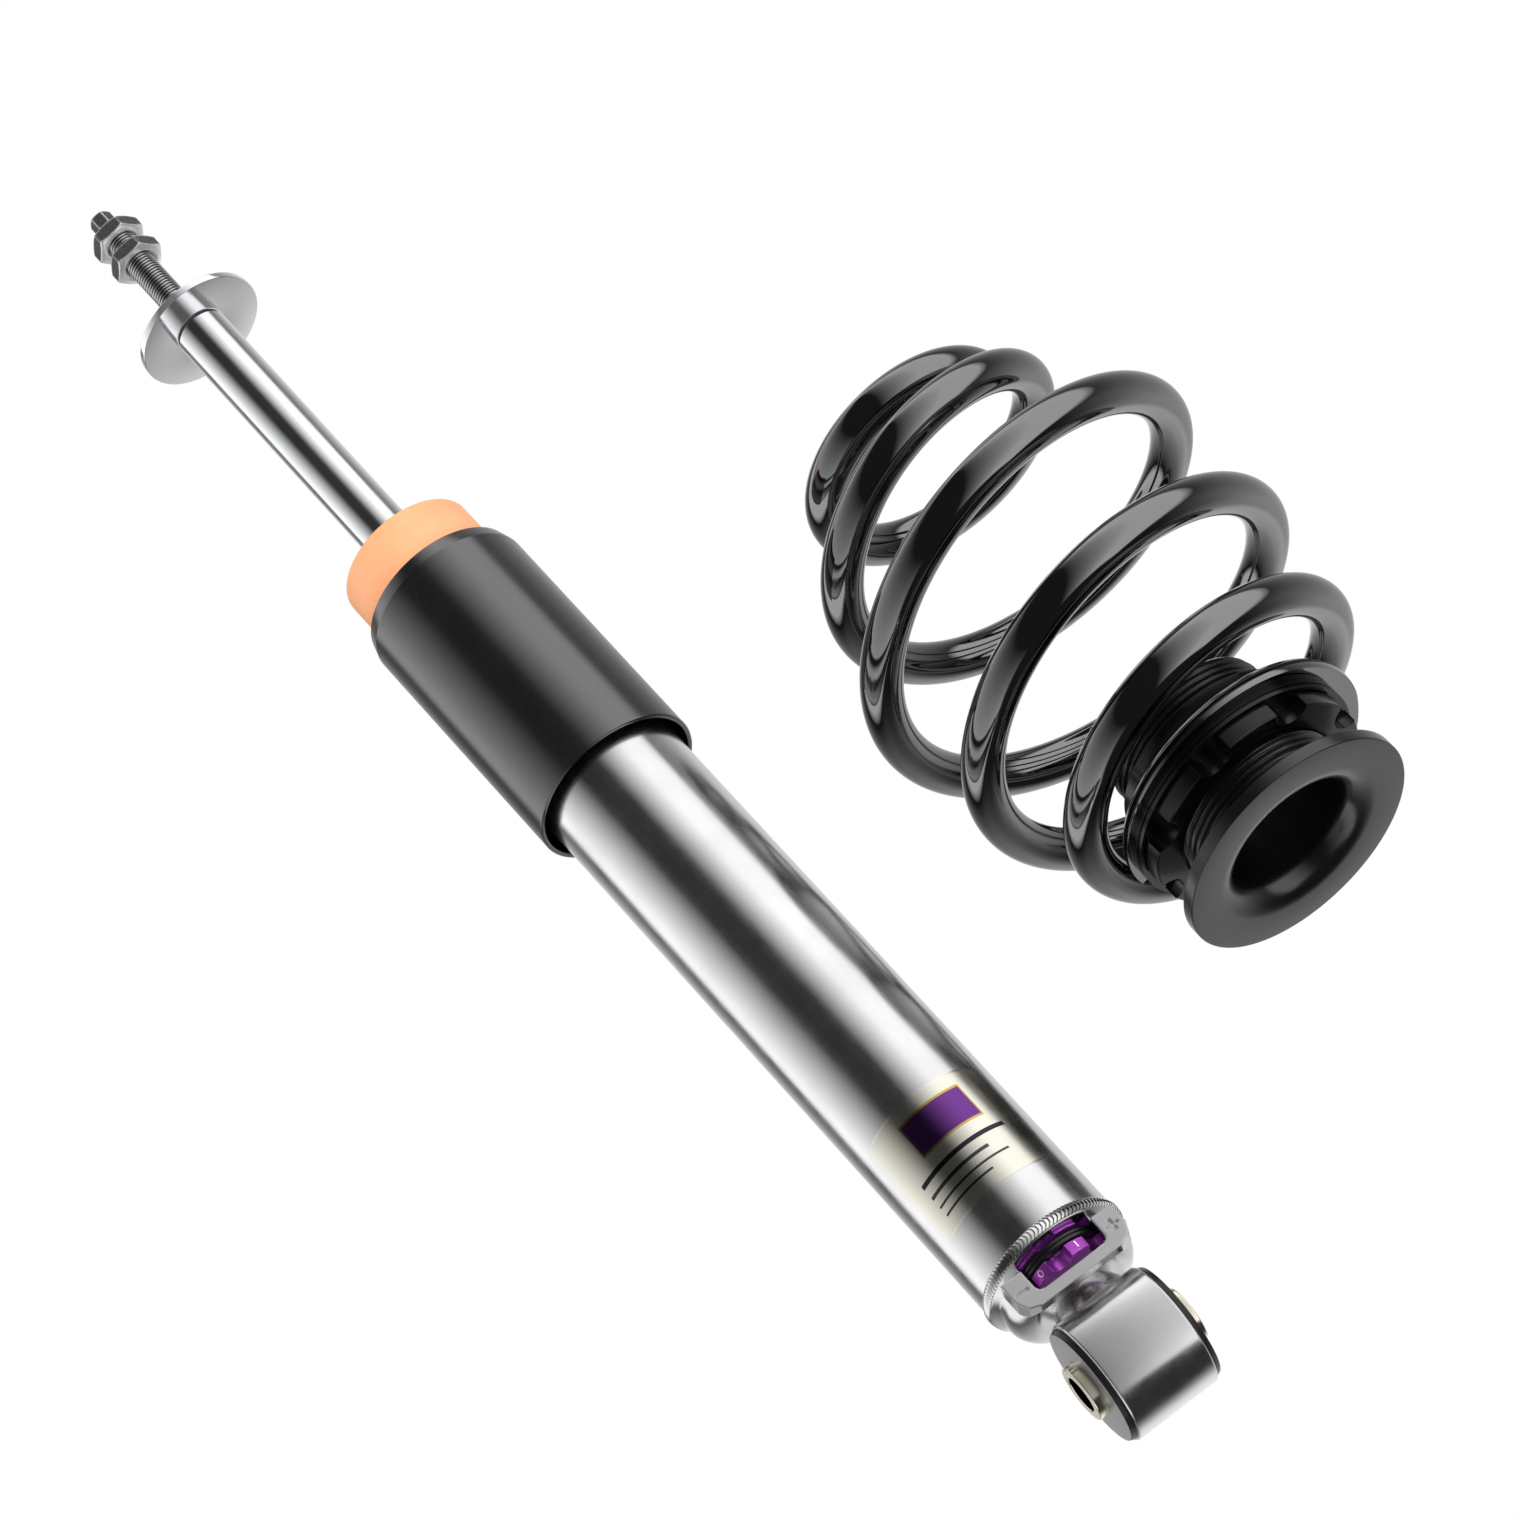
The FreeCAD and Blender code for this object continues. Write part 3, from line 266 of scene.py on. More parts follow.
def make_nut_steel():
    """Flats darkened with painted shade and a fine grain; turned cones keep bright metal; edges
    carry a painted highlight.
    """
    finish = metal("nut_steel", (0.88, 0.88, 0.89), 0.22, 0.08, grain=(1, 1, 20), edge=0.0006)
    facing = finish.node("ShaderNodeSeparateXYZ",
                         Vector=finish.node("ShaderNodeTexCoord").outputs["Normal"])
    upright = finish.math("ABSOLUTE", facing.outputs[2])
    # painted shade: the upright flats are coloured dark
    flat = finish.between(upright, 0.30, 0.15)
    # painted highlight: a band along the edges keeps the bright metal
    edge_highlight = finish.between(finish.edge_mask(0.0010), 0.08, 0.40)
    dark = finish.math("MULTIPLY", flat, finish.math("SUBTRACT", 1.0, edge_highlight))
    grain = finish.between(finish.noise(2400.0, 3.0), 0.35, 0.65)
    shaded_flat_color = finish.mix(grain, (0.030, 0.030, 0.032), (0.072, 0.072, 0.076))
    base = finish.shader.inputs["Base Color"].links[0].from_socket
    finish.set("Base Color", finish.mix(dark, base, shaded_flat_color))
    finish.set("Metallic", finish.between(dark, 0.0, 1.0, 0.7, 0.2))
    return finish


def make_hardened_steel():
    return metal("hardened_steel", (0.52, 0.52, 0.53), 0.25, 0.10)


def make_zinc_yellow():
    return metal("zinc_yellow", (0.86, 0.78, 0.58), 0.16, 0.08, grain=(30, 1, 1), tint=0.8)


def make_turned_aluminium():
    return metal("turned_aluminium", (0.78, 0.78, 0.79), 0.28, 0.1, grain=(1, 1, 60))


def make_guide_bronze():
    return metal("guide_bronze", (0.70, 0.48, 0.26), 0.35, 0.1)


def make_anodised_purple():
    """Dyed aluminium with a painted highlight along its edges, broken up by noise; two lobes of
    the dial carry a round and a bar mark.
    """
    finish = metal("anodised_purple", (0.42, 0.07, 0.52), 0.20, 0.06, grain=(1, 1, 40),
                   edge=0.00025, tint=0.75)
    # painted highlight: a light pink band along the edges
    highlight_edge_mask = finish.edge_mask(0.00035)
    edge_highlight = finish.math("MULTIPLY", highlight_edge_mask, finish.between(finish.noise(700.0), 0.45, 0.6))
    base = finish.shader.inputs["Base Color"].links[0].from_socket
    color = finish.mix(edge_highlight, base, (0.80, 0.38, 0.88))
    place = finish.node("ShaderNodeSeparateXYZ", Vector=finish.coordinates)
    forward = finish.math("ADD", place.outputs[1], DIAL_FORWARD * MM)
    turn = finish.math("ARCTAN2", forward, place.outputs[0])
    rise = finish.math("SUBTRACT", place.outputs[2], 0.0308)

    def along_rim(degrees):
        away = finish.math("SUBTRACT", turn, math.radians(degrees))
        return finish.math("MULTIPLY", away, DIAL_RADIUS * MM)

    wide = finish.math("DIVIDE", along_rim(-122.7), 0.72)
    reach = finish.math("SQRT", finish.math("ADD", finish.math("MULTIPLY", wide, wide),
                                            finish.math("MULTIPLY", rise, rise)))
    loop = finish.math("COMPARE", reach, 0.00105, 0.00018)
    bar = finish.math("MULTIPLY", finish.math("COMPARE", along_rim(-71.0), 0.0, 0.00022),
                      finish.math("COMPARE", rise, 0.0, 0.0012))
    marked = finish.math("MAXIMUM", loop, bar)
    finish.set("Base Color", finish.mix(marked, color, (0.85, 0.80, 0.88)))
    finish.set("Metallic", 0.8)
    return finish


def make_rubber(name, color, roughness):
    finish = Finish(name, Base_Color=color, Roughness=roughness, IOR=1.55)
    fine = finish.noise(1500.0, 4.0)
    bloom = finish.noise(60.0, 5.0)
    lighter = tuple(channel * 1.6 for channel in color)
    finish.set("Base Color", finish.mix(finish.between(bloom, 0.4, 0.75), color, lighter))
    finish.set("Roughness", finish.between(fine, 0.3, 0.7, roughness - 0.08, roughness + 0.1))
    finish.bump(fine, 0.25, 0.00004)
    return finish


def make_bush_rubber():
    """Black rubber whose two end faces are bonded to a pale satin plate."""
    finish = make_rubber("bush_rubber", (0.006, 0.006, 0.006), 0.30)
    finish.set("IOR", 1.45)
    facing = finish.node("ShaderNodeSeparateXYZ",
                         Vector=finish.node("ShaderNodeTexCoord").outputs["Normal"])
    place = finish.node("ShaderNodeSeparateXYZ", Vector=finish.coordinates)
    end = finish.math("MULTIPLY",
                      finish.between(finish.math("ABSOLUTE", facing.outputs[0]), 0.93, 0.97),
                      finish.math("GREATER_THAN", finish.math("ABSOLUTE", place.outputs[0]),
                                  0.0165))
    base = finish.shader.inputs["Base Color"].links[0].from_socket
    rough = finish.shader.inputs["Roughness"].links[0].from_socket
    finish.set("Base Color", finish.mix(end, base, (0.55, 0.55, 0.56)))
    finish.set("Metallic", end)
    finish.set("Roughness", finish.math("MULTIPLY_ADD", end, 0.08, rough))
    return finish


def make_bright_zinc():
    """Freshly plated disc: bright, a little milky, turned in fine rings."""
    finish = metal("bright_zinc", (0.93, 0.93, 0.95), 0.08, 0.03, grain=(1, 1, 40), tint=0.97)
    finish.set("Metallic", 0.90)
    return finish


def make_spacer_zinc():
    """Pale gold passivated zinc, with painted shade darkening the inside of the bore."""
    finish = metal("spacer_zinc", (0.95, 0.88, 0.72), 0.14, 0.08, grain=(30, 1, 1), tint=0.85)
    place = finish.node("ShaderNodeSeparateXYZ", Vector=finish.coordinates)
    square = finish.math("ADD", finish.math("MULTIPLY", place.outputs[1], place.outputs[1]),
                         finish.math("MULTIPLY", place.outputs[2], place.outputs[2]))
    # painted shade: the bore is coloured dark
    inside = finish.math("LESS_THAN", square, 0.0062 ** 2)
    base = finish.shader.inputs["Base Color"].links[0].from_socket
    finish.set("Base Color", finish.mix(inside, base, (0.03, 0.028, 0.025)))
    return finish


def make_foam():
    """Closed-cell polyurethane: fine pores and a slightly mottled peach orange."""
    finish = Finish("foam_orange", Roughness=0.62, IOR=1.4, Subsurface_Weight=0.25)
    finish.set("Subsurface Radius", (0.004, 0.002, 0.001))
    finish.set("Subsurface Scale", 0.6)
    mottled = finish.noise(70.0, 5.0)
    pores = finish.cells(1400.0)
    finish.set("Base Color", finish.mix(
        finish.between(mottled, 0.35, 0.7), (0.92, 0.43, 0.225), (0.88, 0.385, 0.19)))
    finish.bump(pores, 0.22, 0.00008)
    finish.bump(finish.noise(300.0, 3.0), 0.15, 0.0001)
    return finish


def make_sleeve_plastic():
    """Smooth injection-moulded plastic with faint flow clouds."""
    return coated("sleeve_plastic", (0.004, 0.004, 0.004), 0.20, 2.25, 0.02)


def make_plain_plastic():
    return make_rubber("sliding_band", (0.09, 0.05, 0.03), 0.4)


def make_label():
    """Printed foil: a plain violet block in a gold frame, with plain rules below it."""
    finish = metal("label_foil", (0.84, 0.82, 0.72), 0.19, 0.05, edge=0, tint=0.95)
    place = finish.node("ShaderNodeUVMap").outputs[0]
    parts = finish.node("ShaderNodeSeparateXYZ", Vector=place)
    across, up = parts.outputs[0], parts.outputs[1]

    def block(left, right, low, high):
        inside = finish.math("MULTIPLY", finish.math("GREATER_THAN", across, left),
                             finish.math("LESS_THAN", across, right))
        level = finish.math("MULTIPLY", finish.math("GREATER_THAN", up, low),
                            finish.math("LESS_THAN", up, high))
        return finish.math("MULTIPLY", inside, level)

    color = finish.shader.inputs["Base Color"].links[0].from_socket
    ink = [
        (block(0.29, 0.79, 0.55, 0.88), (0.62, 0.40, 0.10)),
        (block(0.30, 0.78, 0.57, 0.86), (0.16, 0.05, 0.26)),
        (block(0.14, 0.86, 0.40, 0.44), (0.04, 0.04, 0.05)),
        (block(0.14, 0.66, 0.29, 0.32), (0.08, 0.08, 0.09)),
        (block(0.14, 0.76, 0.20, 0.22), (0.08, 0.08, 0.09)),
        (block(0.14, 0.58, 0.12, 0.14), (0.08, 0.08, 0.09)),
    ]
    for mask, paint in ink:
        color = finish.mix(mask, color, paint)
    finish.set("Base Color", color)
    return finish


def make_all_finishes():
    finishes = {
        "polished_steel": make_polished_steel(),
        "hard_chrome": make_hard_chrome(),
        "satin_steel": make_satin_steel(),
        "weld_steel": make_weld_steel(),
        "nut_steel": make_nut_steel(),
        "hardened_steel": make_hardened_steel(),
        "zinc_yellow": make_zinc_yellow(),
        "turned_aluminium": make_turned_aluminium(),
        "guide_bronze": make_guide_bronze(),
        "anodised_purple": make_anodised_purple(),
        "rubber_black": make_rubber("rubber_black", (0.020, 0.020, 0.021), 0.42),
        "bush_rubber": make_bush_rubber(),
        "bright_zinc": make_bright_zinc(),
        "spacer_zinc": make_spacer_zinc(),
        "seal_rubber": make_rubber("seal_rubber", (0.004, 0.004, 0.004), 0.22),
        "foam_orange": make_foam(),
        "sleeve_plastic": make_sleeve_plastic(),
        "sliding_band": make_plain_plastic(),
        "label_foil": make_label(),
        "perch_black": coated("perch_black", (0.0025, 0.0025, 0.0025), 0.21, 1.72, 0.02),
        "ring_black": coated("ring_black", (0.0015, 0.0015, 0.0015), 0.15, 1.42, 0.02),
        "spring_coat": coated("spring_coat", (0.0003, 0.0003, 0.0003), 0.035, 2.75, 0.01),
    }
    return {name: finish.material for name, finish in finishes.items()}


FINISH = make_all_finishes()
SLOT_OF = {item["node"]: item["material_slot"] for item in frame["record"]["subparts"]}


def dress_cad_nodes():
    for node, item in frame["nodes"].items():
        for index in range(len(item.material_slots)):
            item.material_slots[index].material = FINISH[SLOT_OF[node]]


# ---- mesh helpers ----------------------------------------------------------------------------

def add_piece(name, points, faces, node, body, finish=None):
    """A finished mesh, in millimetres, that stands for one CAD node."""
    mesh = bpy.data.meshes.new(name)
    mesh.from_pydata([Vector(point) * MM for point in points], [], faces)
    piece = bpy.data.objects.new(name, mesh)
    bpy.context.scene.collection.objects.link(piece)
    clean(mesh)
    mesh.materials.append(FINISH[finish or SLOT_OF[node]])
    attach(piece, body)
    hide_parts(node)
    return piece


def clean(mesh):
    """Merges doubled points, turns faces outward and marks sharp edges."""
    work = bmesh.new()
    work.from_mesh(mesh)
    bmesh.ops.remove_doubles(work, verts=work.verts, dist=1e-7)
    bmesh.ops.recalc_face_normals(work, faces=work.faces)
    work.to_mesh(mesh)
    work.free()
    mesh.shade_smooth()
    mesh.set_sharp_from_angle(angle=SHARP_ANGLE)


def rounded(outline, steps=6):
    """Outline points (across, up) or (across, up, corner radius), corners turned to arcs."""
    result = []
    count = len(outline)
    for number, point in enumerate(outline):
        here = Vector(point[:2])
        radius = point[2] if len(point) > 2 else 0
        if not radius:
            result.append((here.x, here.y))
            continue
        back = (Vector(outline[number - 1][:2]) - here).normalized()
        ahead = (Vector(outline[(number + 1) % count][:2]) - here).normalized()
        half = back.angle(ahead) / 2
        middle = here + (back + ahead).normalized() * (radius / math.sin(half))
        start = here + back * (radius / math.tan(half)) - middle
        finish = here + ahead * (radius / math.tan(half)) - middle
        for step in range(steps + 1):
            arm = start.slerp(finish, step / steps) * radius
            result.append((middle.x + arm.x, middle.y + arm.y))
    return result


def ring_faces(steps, size):
    """Faces of a closed skin: size points in each of steps rows, joined round both ways."""
    faces = []
    for number in range(steps):
        following = (number + 1) % steps
        for corner in range(size):
            after = (corner + 1) % size
            faces.append((number * size + corner, number * size + after,
                          following * size + after, following * size + corner))
    return faces


def turned(outline, steps=144, along="Z", centre=(0, 0, 0), wave=None):
    """Points and faces of a closed outline (radius, distance) turned round an axis.

    wave(angle, radius, distance) may return a new radius, for threads and ripples.
    """
    points = []
    for number in range(steps):
        angle = TURN * number / steps
        for radius, distance in outline:
            reach = wave(angle, radius, distance) if wave else radius
            side, lift = reach * math.cos(angle), reach * math.sin(angle)
            if along == "Z":
                point = (side, lift, distance)
            else:
                point = (distance, side, lift)
            points.append(tuple(p + c for p, c in zip(point, centre)))
    return points, ring_faces(steps, len(outline))


# ---- weld bead -------------------------------------------------------------------------------

def make_weld_bead():
    """Overlapping scales of a machine weld round the joint of base and tube."""
    low, high = span("base_weld")
    tube = span("body_tube")[1].x
    proud = high.x - tube
    middle = (low.z + high.z) / 2
    half = (high.z - low.z) / 2
    rings = 20
    steps = WELD_SCALES * 12
    points = []
    for number in range(steps):
        angle = TURN * number / steps
        for ring in range(rings):
            part = ring / (rings - 1)
            across = 2 * part - 1
            # Each scale is a crescent: it lags behind at the bead's edges.
            lag = WELD_LAG * across * across
            phase = (angle / TURN * WELD_SCALES + lag) % 1.0
            crown = math.sqrt(max(0.0, 1 - across * across))
            step = 0.42 * (1 - phase)
            reach = tube - 0.25 + (proud * 0.75 + 0.1 + step) * crown
            points.append((reach * math.cos(angle), reach * math.sin(angle),
                           middle + half * across))
        for level in (middle + half, middle - half):
            points.append(((tube - 0.6) * math.cos(angle), (tube - 0.6) * math.sin(angle),
                           level))
    return add_piece("weld_bead", points, ring_faces(steps, rings + 2), "base_weld", "damper_body")


# ---- foil label ------------------------------------------------------------------------------

def make_label_piece():
    """The label bent round the tube, with rounded corners and a layout for its print."""
    cad = frame["nodes"]["label_plate"].data
    corners = np.array([tuple(vertex.co) for vertex in cad.vertices]) / MM
    angles = np.degrees(np.arctan2(corners[:, 1], corners[:, 0]))
    first, last = angles.min(), angles.max()
    low, high = corners[:, 2].min(), corners[:, 2].max()
    inner = np.hypot(corners[:, 0], corners[:, 1]).min()
    outer = inner + 0.15
    columns, rows = 96, 36
    width = math.radians(last - first) * outer
    height = high - low
    corner = 4.0
    points, layout = [], []
    for radius in (outer, inner + 0.01):
        for row in range(rows + 1):
            up = height * row / rows
            inset = 0.0
            edge = min(up, height - up)
            if edge < corner:
                inset = corner - math.sqrt(corner ** 2 - (corner - edge) ** 2)
            for column in range(columns + 1):
                across = inset + (width - 2 * inset) * column / columns
                angle = math.radians(first) + across / outer
                points.append((radius * math.cos(angle), radius * math.sin(angle), low + up))
                layout.append((across / width, up / height))
    stride = columns + 1
    sheet = (rows + 1) * stride
    faces = []
    for row in range(rows):
        for column in range(columns):
            corner_point = row * stride + column
            face = (corner_point, corner_point + 1, corner_point + stride + 1,
                    corner_point + stride)
            faces.append(face)
            faces.append(tuple(index + sheet for index in reversed(face)))
    border = ([column for column in range(columns)]
              + [columns + row * stride for row in range(rows)]
              + [rows * stride + column for column in range(columns, 0, -1)]
              + [row * stride for row in range(rows, 0, -1)])
    for number, point in enumerate(border):
        after = border[(number + 1) % len(border)]
        faces.append((after, point, point + sheet, after + sheet))
    piece = add_piece("foil_label", points, faces, "label_plate", "damper_body")
    print_layout(piece, first, last, low, high)
    return piece


def print_layout(piece, first, last, low, high):
    """UV from the angle round the tube and the height, so that the print follows the bend."""
    mesh = piece.data
    uv = mesh.uv_layers.new(name="UVMap")
    for loop in mesh.loops:
        point = mesh.vertices[loop.vertex_index].co / MM
        angle = math.degrees(math.atan2(point.y, point.x))
        uv.data[loop.index].uv = ((angle - first) / (last - first),
                                  (point.z - low) / (high - low))


# ---- threads ---------------------------------------------------------------------------------

def thread_wave(crest, pitch, depth, low, high, fade):
    """Radius of a right-hand thread with rounded crests, fading in and out between heights."""
    def wave(angle, radius, distance):
        if abs(radius - crest) > 0.05 or not low < distance < high:
            return radius
        phase = distance / pitch - angle / TURN
        valley = (0.5 - 0.5 * math.cos(TURN * phase)) ** 0.8
        strength = min(1.0, (distance - low) / fade, (high - distance) / fade)
        return radius - depth * valley * strength
    return wave


def levels(low, high, step):
    count = max(1, round((high - low) / step))
    return [low + (high - low) * number / count for number in range(count + 1)]


def make_rod():
    """Hollow chromed rod; its pin carries a true screw thread."""
    low, high = span("piston_rod")
    washer_low, washer_high = span("top_washer")
    rod = high.x
    pin, pitch = PIN_CREST, PIN_PITCH
    bore = 2.05
    step = span("compression_shims")[1].z
    edge = 1.0
    outline = [(bore, low.z), (6.0 - edge, low.z), (6.0, low.z + edge), (6.0, step),
               (rod - 0.4, step), (rod, step + 0.4), (rod, washer_low.z - 0.9),
               (rod - 0.15, washer_low.z - 0.75), (rod - 0.9, washer_low.z - 0.7),
               (rod - 0.9, washer_low.z), (pin, washer_low.z)]
    outline += [(pin, level) for level in levels(washer_high.z - 1.0, high.z - edge, pitch / 12)]
    outline += [(pin - edge, high.z), (bore, high.z)]
    wave = thread_wave(pin, pitch, 0.62, washer_high.z + 0.4, high.z, 1.2)
    points, faces = turned(outline, steps=144, wave=wave)
    return add_piece("chromed_rod", points, faces, "piston_rod", "rod")


def make_perch():
    """Perch with a broad rounded mouth and a screw thread on its tube."""
    low, high = span("perch_base")
    axis = (low.x + high.x) / 2
    flange = (high.x - low.x) / 2
    bore, crest, pitch = 21.8, 29.0, 2.5
    bottom, top = low.z, high.z
    rim = bottom + 4.5
    outline = rounded([
        (bore, top, 0.8),
        (bore, bottom, 8.6),
        (flange, bottom, 0.45),
        (flange, rim, 0.45),
        (crest, rim, 1.0),
        (crest, top - 1.2),
        (crest - 1.2, top),
    ], steps=10)
    outline[-2:-2] = [(crest, level) for level in levels(rim + 1.6, top - 1.4, pitch / 12)]
    wave = thread_wave(crest, pitch, 1.35, rim + 1.2, top + 2.0, 1.6)
    points, faces = turned(outline, steps=192, centre=(axis, 0, 0), wave=wave)
    return add_piece("perch_foot", points, faces, "perch_base", "perch")


# ---- eye -------------------------------------------------------------------------------------

def make_eye():
    """Ring, rubber bush with a lip at both ends, and the bolt sleeve."""
    low, high = span("eye_ring")
    outer = high.z
    bore = 17.0
    outline = rounded([
        (bore, low.x, 0.3), (outer, low.x, 0.5), (outer, high.x, 0.5), (bore, high.x, 0.3),
    ])
    points, faces = turned(outline, steps=192, along="X")
    add_piece("eye_shell", points, faces, "eye_ring", "damper_body")

    lip = span("eye_bush")[1].z
    face = span("eye_bush")[1].x
    crown = 19.5
    hole = 9.55
    outline = rounded([
        (hole, -face), (crown, -face, 0.25), (lip, low.x - 0.4, 0.2), (lip, low.x - 0.02),
        (bore, low.x - 0.02), (bore, high.x + 0.02), (lip, high.x + 0.02),
        (lip, high.x + 0.4, 0.2), (crown, face, 0.25), (hole, face),
    ])
    points, faces = turned(outline, steps=144, along="X")
    add_piece("eye_rubber", points, faces, "eye_bush", "damper_body", "bush_rubber")

    low, high = span("eye_sleeve")
    wall, clear = 9.5, 6.1
    outline = rounded([
        (clear, low.x, 0.5), (wall, low.x, 0.45), (wall, high.x, 0.45), (clear, high.x, 0.5),
    ])
    points, faces = turned(outline, steps=160, along="X")
    add_piece("eye_spacer", points, faces, "eye_sleeve", "bolt_sleeve", "spacer_zinc")


# ---- dial seal -------------------------------------------------------------------------------

def make_dial_seal():
    """Two thin beads of one rubber ring, lying side by side in the dial's groove."""
    low, high = span("dial_seal")
    level = (low.z + high.z) / 2
    centre = ((low.x + high.x) / 2, (low.y + high.y) / 2, level)
    outer = (high.x - low.x) / 2 - 0.3
    outline = rounded([
        (outer - 2.9, -1.5), (outer, -1.5, 0.7), (outer, -0.05, 0.65), (outer - 1.0, 0.0),
        (outer, 0.05, 0.65), (outer, 1.5, 0.7), (outer - 2.9, 1.5),
    ], steps=8)
    points, faces = turned(outline, steps=160, centre=centre)
    return add_piece("seal_beads", points, faces, "dial_seal", "dial")


# ---- tube, bump stop and dust sleeve ---------------------------------------------------------

def make_tube():
    low, high = span("body_tube")
    outer, inner = high.x, 22.5
    outline = rounded([(inner, low.z), (outer, low.z, 0.3), (outer, high.z, 0.3), (inner, high.z)])
    points, faces = turned(outline, steps=256)
    return add_piece("damper_tube", points, faces, "body_tube", "damper_body")


def make_dust_sleeve():
    """Thin plastic sleeve with a rolled lower lip and a bevelled, narrowed collar."""
    low, high = span("dust_sleeve")
    outer = high.x
    wall = 1.6
    grip = 24.42
    rim = 28.0
    shoulder = 362.3
    outline = rounded([
        (outer - wall, low.z, 0.5),
        (outer, low.z, 0.6),
        (outer, shoulder, 0.35),
        (rim, high.z, 0.3),
        (grip, high.z),
        (grip, high.z - 5),
        (outer - wall - 0.6, shoulder - 5, 1.0),
        (outer - wall, shoulder - 7, 1.0),
    ], steps=8)
    points, faces = turned(outline, steps=256)
    return add_piece("boot_sleeve", points, faces, "dust_sleeve", "boot")


def make_bump_stop():
    """Foam head with a soft edge and a fine moulding line, waisted inside the sleeve."""
    low, high = span("bump_stop")
    bore, outer = 9.15, high.x
    waist = outer - 4
    crease = 372.2
    outline = rounded([
        (bore, low.z, 0.5), (outer - 2, low.z, 1.5), (outer - 1, low.z + 6, 1.0),
        (waist, low.z + 10, 1.5), (outer - 1, low.z + 14, 1.0), (outer - 1, low.z + 17, 1.0),
        (waist, low.z + 20.5, 1.5), (outer, low.z + 24.5, 0.8),
        (outer, crease - 0.35), (outer - 0.35, crease), (outer - 0.1, crease + 0.45),
        (outer - 0.1, high.z, 1.2), (bore + 2.2, high.z, 0.6), (bore + 1.0, high.z - 1.4, 0.6),
        (bore, high.z - 2.2),
    ], steps=8)
    points, faces = turned(outline, steps=192)
    return add_piece("foam_stop", points, faces, "bump_stop", "boot")


# ---- top end ---------------------------------------------------------------------------------

def make_washer():
    low, high = span("top_washer")
    outer, inner = high.x, 5.05
    outline = rounded([
        (inner, low.z, 0.2), (outer, low.z, 0.35), (outer, high.z, 0.5), (inner, high.z, 0.2),
    ])
    points, faces = turned(outline, steps=192)
    disc = add_piece("stop_disc", points, faces, "top_washer", "rod", "bright_zinc")
    disc.visible_glossy = False
    return disc


def make_nut(node, piece):
    """Thin hexagon nut; both ends are turned to a cone, which cuts arcs into the flats."""
    low, high = span(node)
    across = 8.35
    centre = across * 0.90
    slope = math.tan(math.radians(27))
    bore, sink = 5.02, 6.3
    first_corner = math.radians(-13)
    rows = [(sink, "low", 0), (centre, "low", 0), (0, "low", 1), (0, "high", 1),
            (centre, "high", 0), (sink, "high", 0), (bore, "high", 2), (bore, "low", 2)]
    steps = 240
    points = []
    for number in range(steps):
        angle = first_corner + TURN * number / steps
        flat = TURN * number / steps % (math.pi / 3) - math.pi / 6
        corner = min(across / math.cos(flat), across * 1.145)
        for radius, end, kind in rows:
            reach = corner if kind == 1 else radius
            inset = {0: 0.0, 1: (corner - centre) * slope, 2: 0.9}[kind]
            level = low.z + inset if end == "low" else high.z - inset
            points.append((reach * math.cos(angle), reach * math.sin(angle), level))
    return add_piece(piece, points, ring_faces(steps, len(rows)), node, "rod")


# ---- spring ----------------------------------------------------------------------------------

# Centre line of the wire: turn angle in degrees from +X, height, coil radius, wire radius.
SPRING_COURSE = [
    (159, 135.6, 38.6, 5.0), (200, 135.7, 38.6, 5.0), (270, 136.1, 39.1, 5.6),
    (320, 136.9, 39.8, 6.3), (360, 137.4, 41.3, 6.9), (400, 138.9, 43.0, 7.0),
    (450, 141.0, 45.0, 7.0), (540, 146.5, 49.7, 7.0), (630, 153.0, 54.5, 7.0),
    (720, 161.0, 58.5, 7.0), (900, 182.5, 62.3, 7.0), (1080, 203.0, 65.9, 7.0),
    (1260, 228.0, 68.0, 7.0), (1440, 253.0, 66.2, 7.0), (1620, 271.5, 52.8, 7.0),
    (1710, 284.0, 47.0, 7.0), (1800, 295.5, 42.3, 7.0), (1890, 301.0, 37.5, 7.0),
    (1980, 304.5, 35.2, 7.0), (2130, 305.5, 34.5, 7.0),
]


def course_at(turn):
    """Height, coil radius and wire radius at a turn angle, on a cubic Hermite curve."""
    number = 0
    while number < len(SPRING_COURSE) - 2 and turn > SPRING_COURSE[number + 1][0]:
        number += 1
    low, high = SPRING_COURSE[number], SPRING_COURSE[number + 1]
    width = high[0] - low[0]
    part = (turn - low[0]) / width
    square, cube = part ** 2, part ** 3
    result = []
    for k in (1, 2, 3):
        starts = slope_at(number, k) * width
        ends = slope_at(number + 1, k) * width
        result.append(low[k] * (2 * cube - 3 * square + 1) + starts * (cube - 2 * square + part)
                      + high[k] * (3 * square - 2 * cube) + ends * (cube - square))
    return result


def slope_at(number, k):
    before = SPRING_COURSE[max(number - 1, 0)]
    after = SPRING_COURSE[min(number + 1, len(SPRING_COURSE) - 1)]
    return (after[k] - before[k]) / (after[0] - before[0])


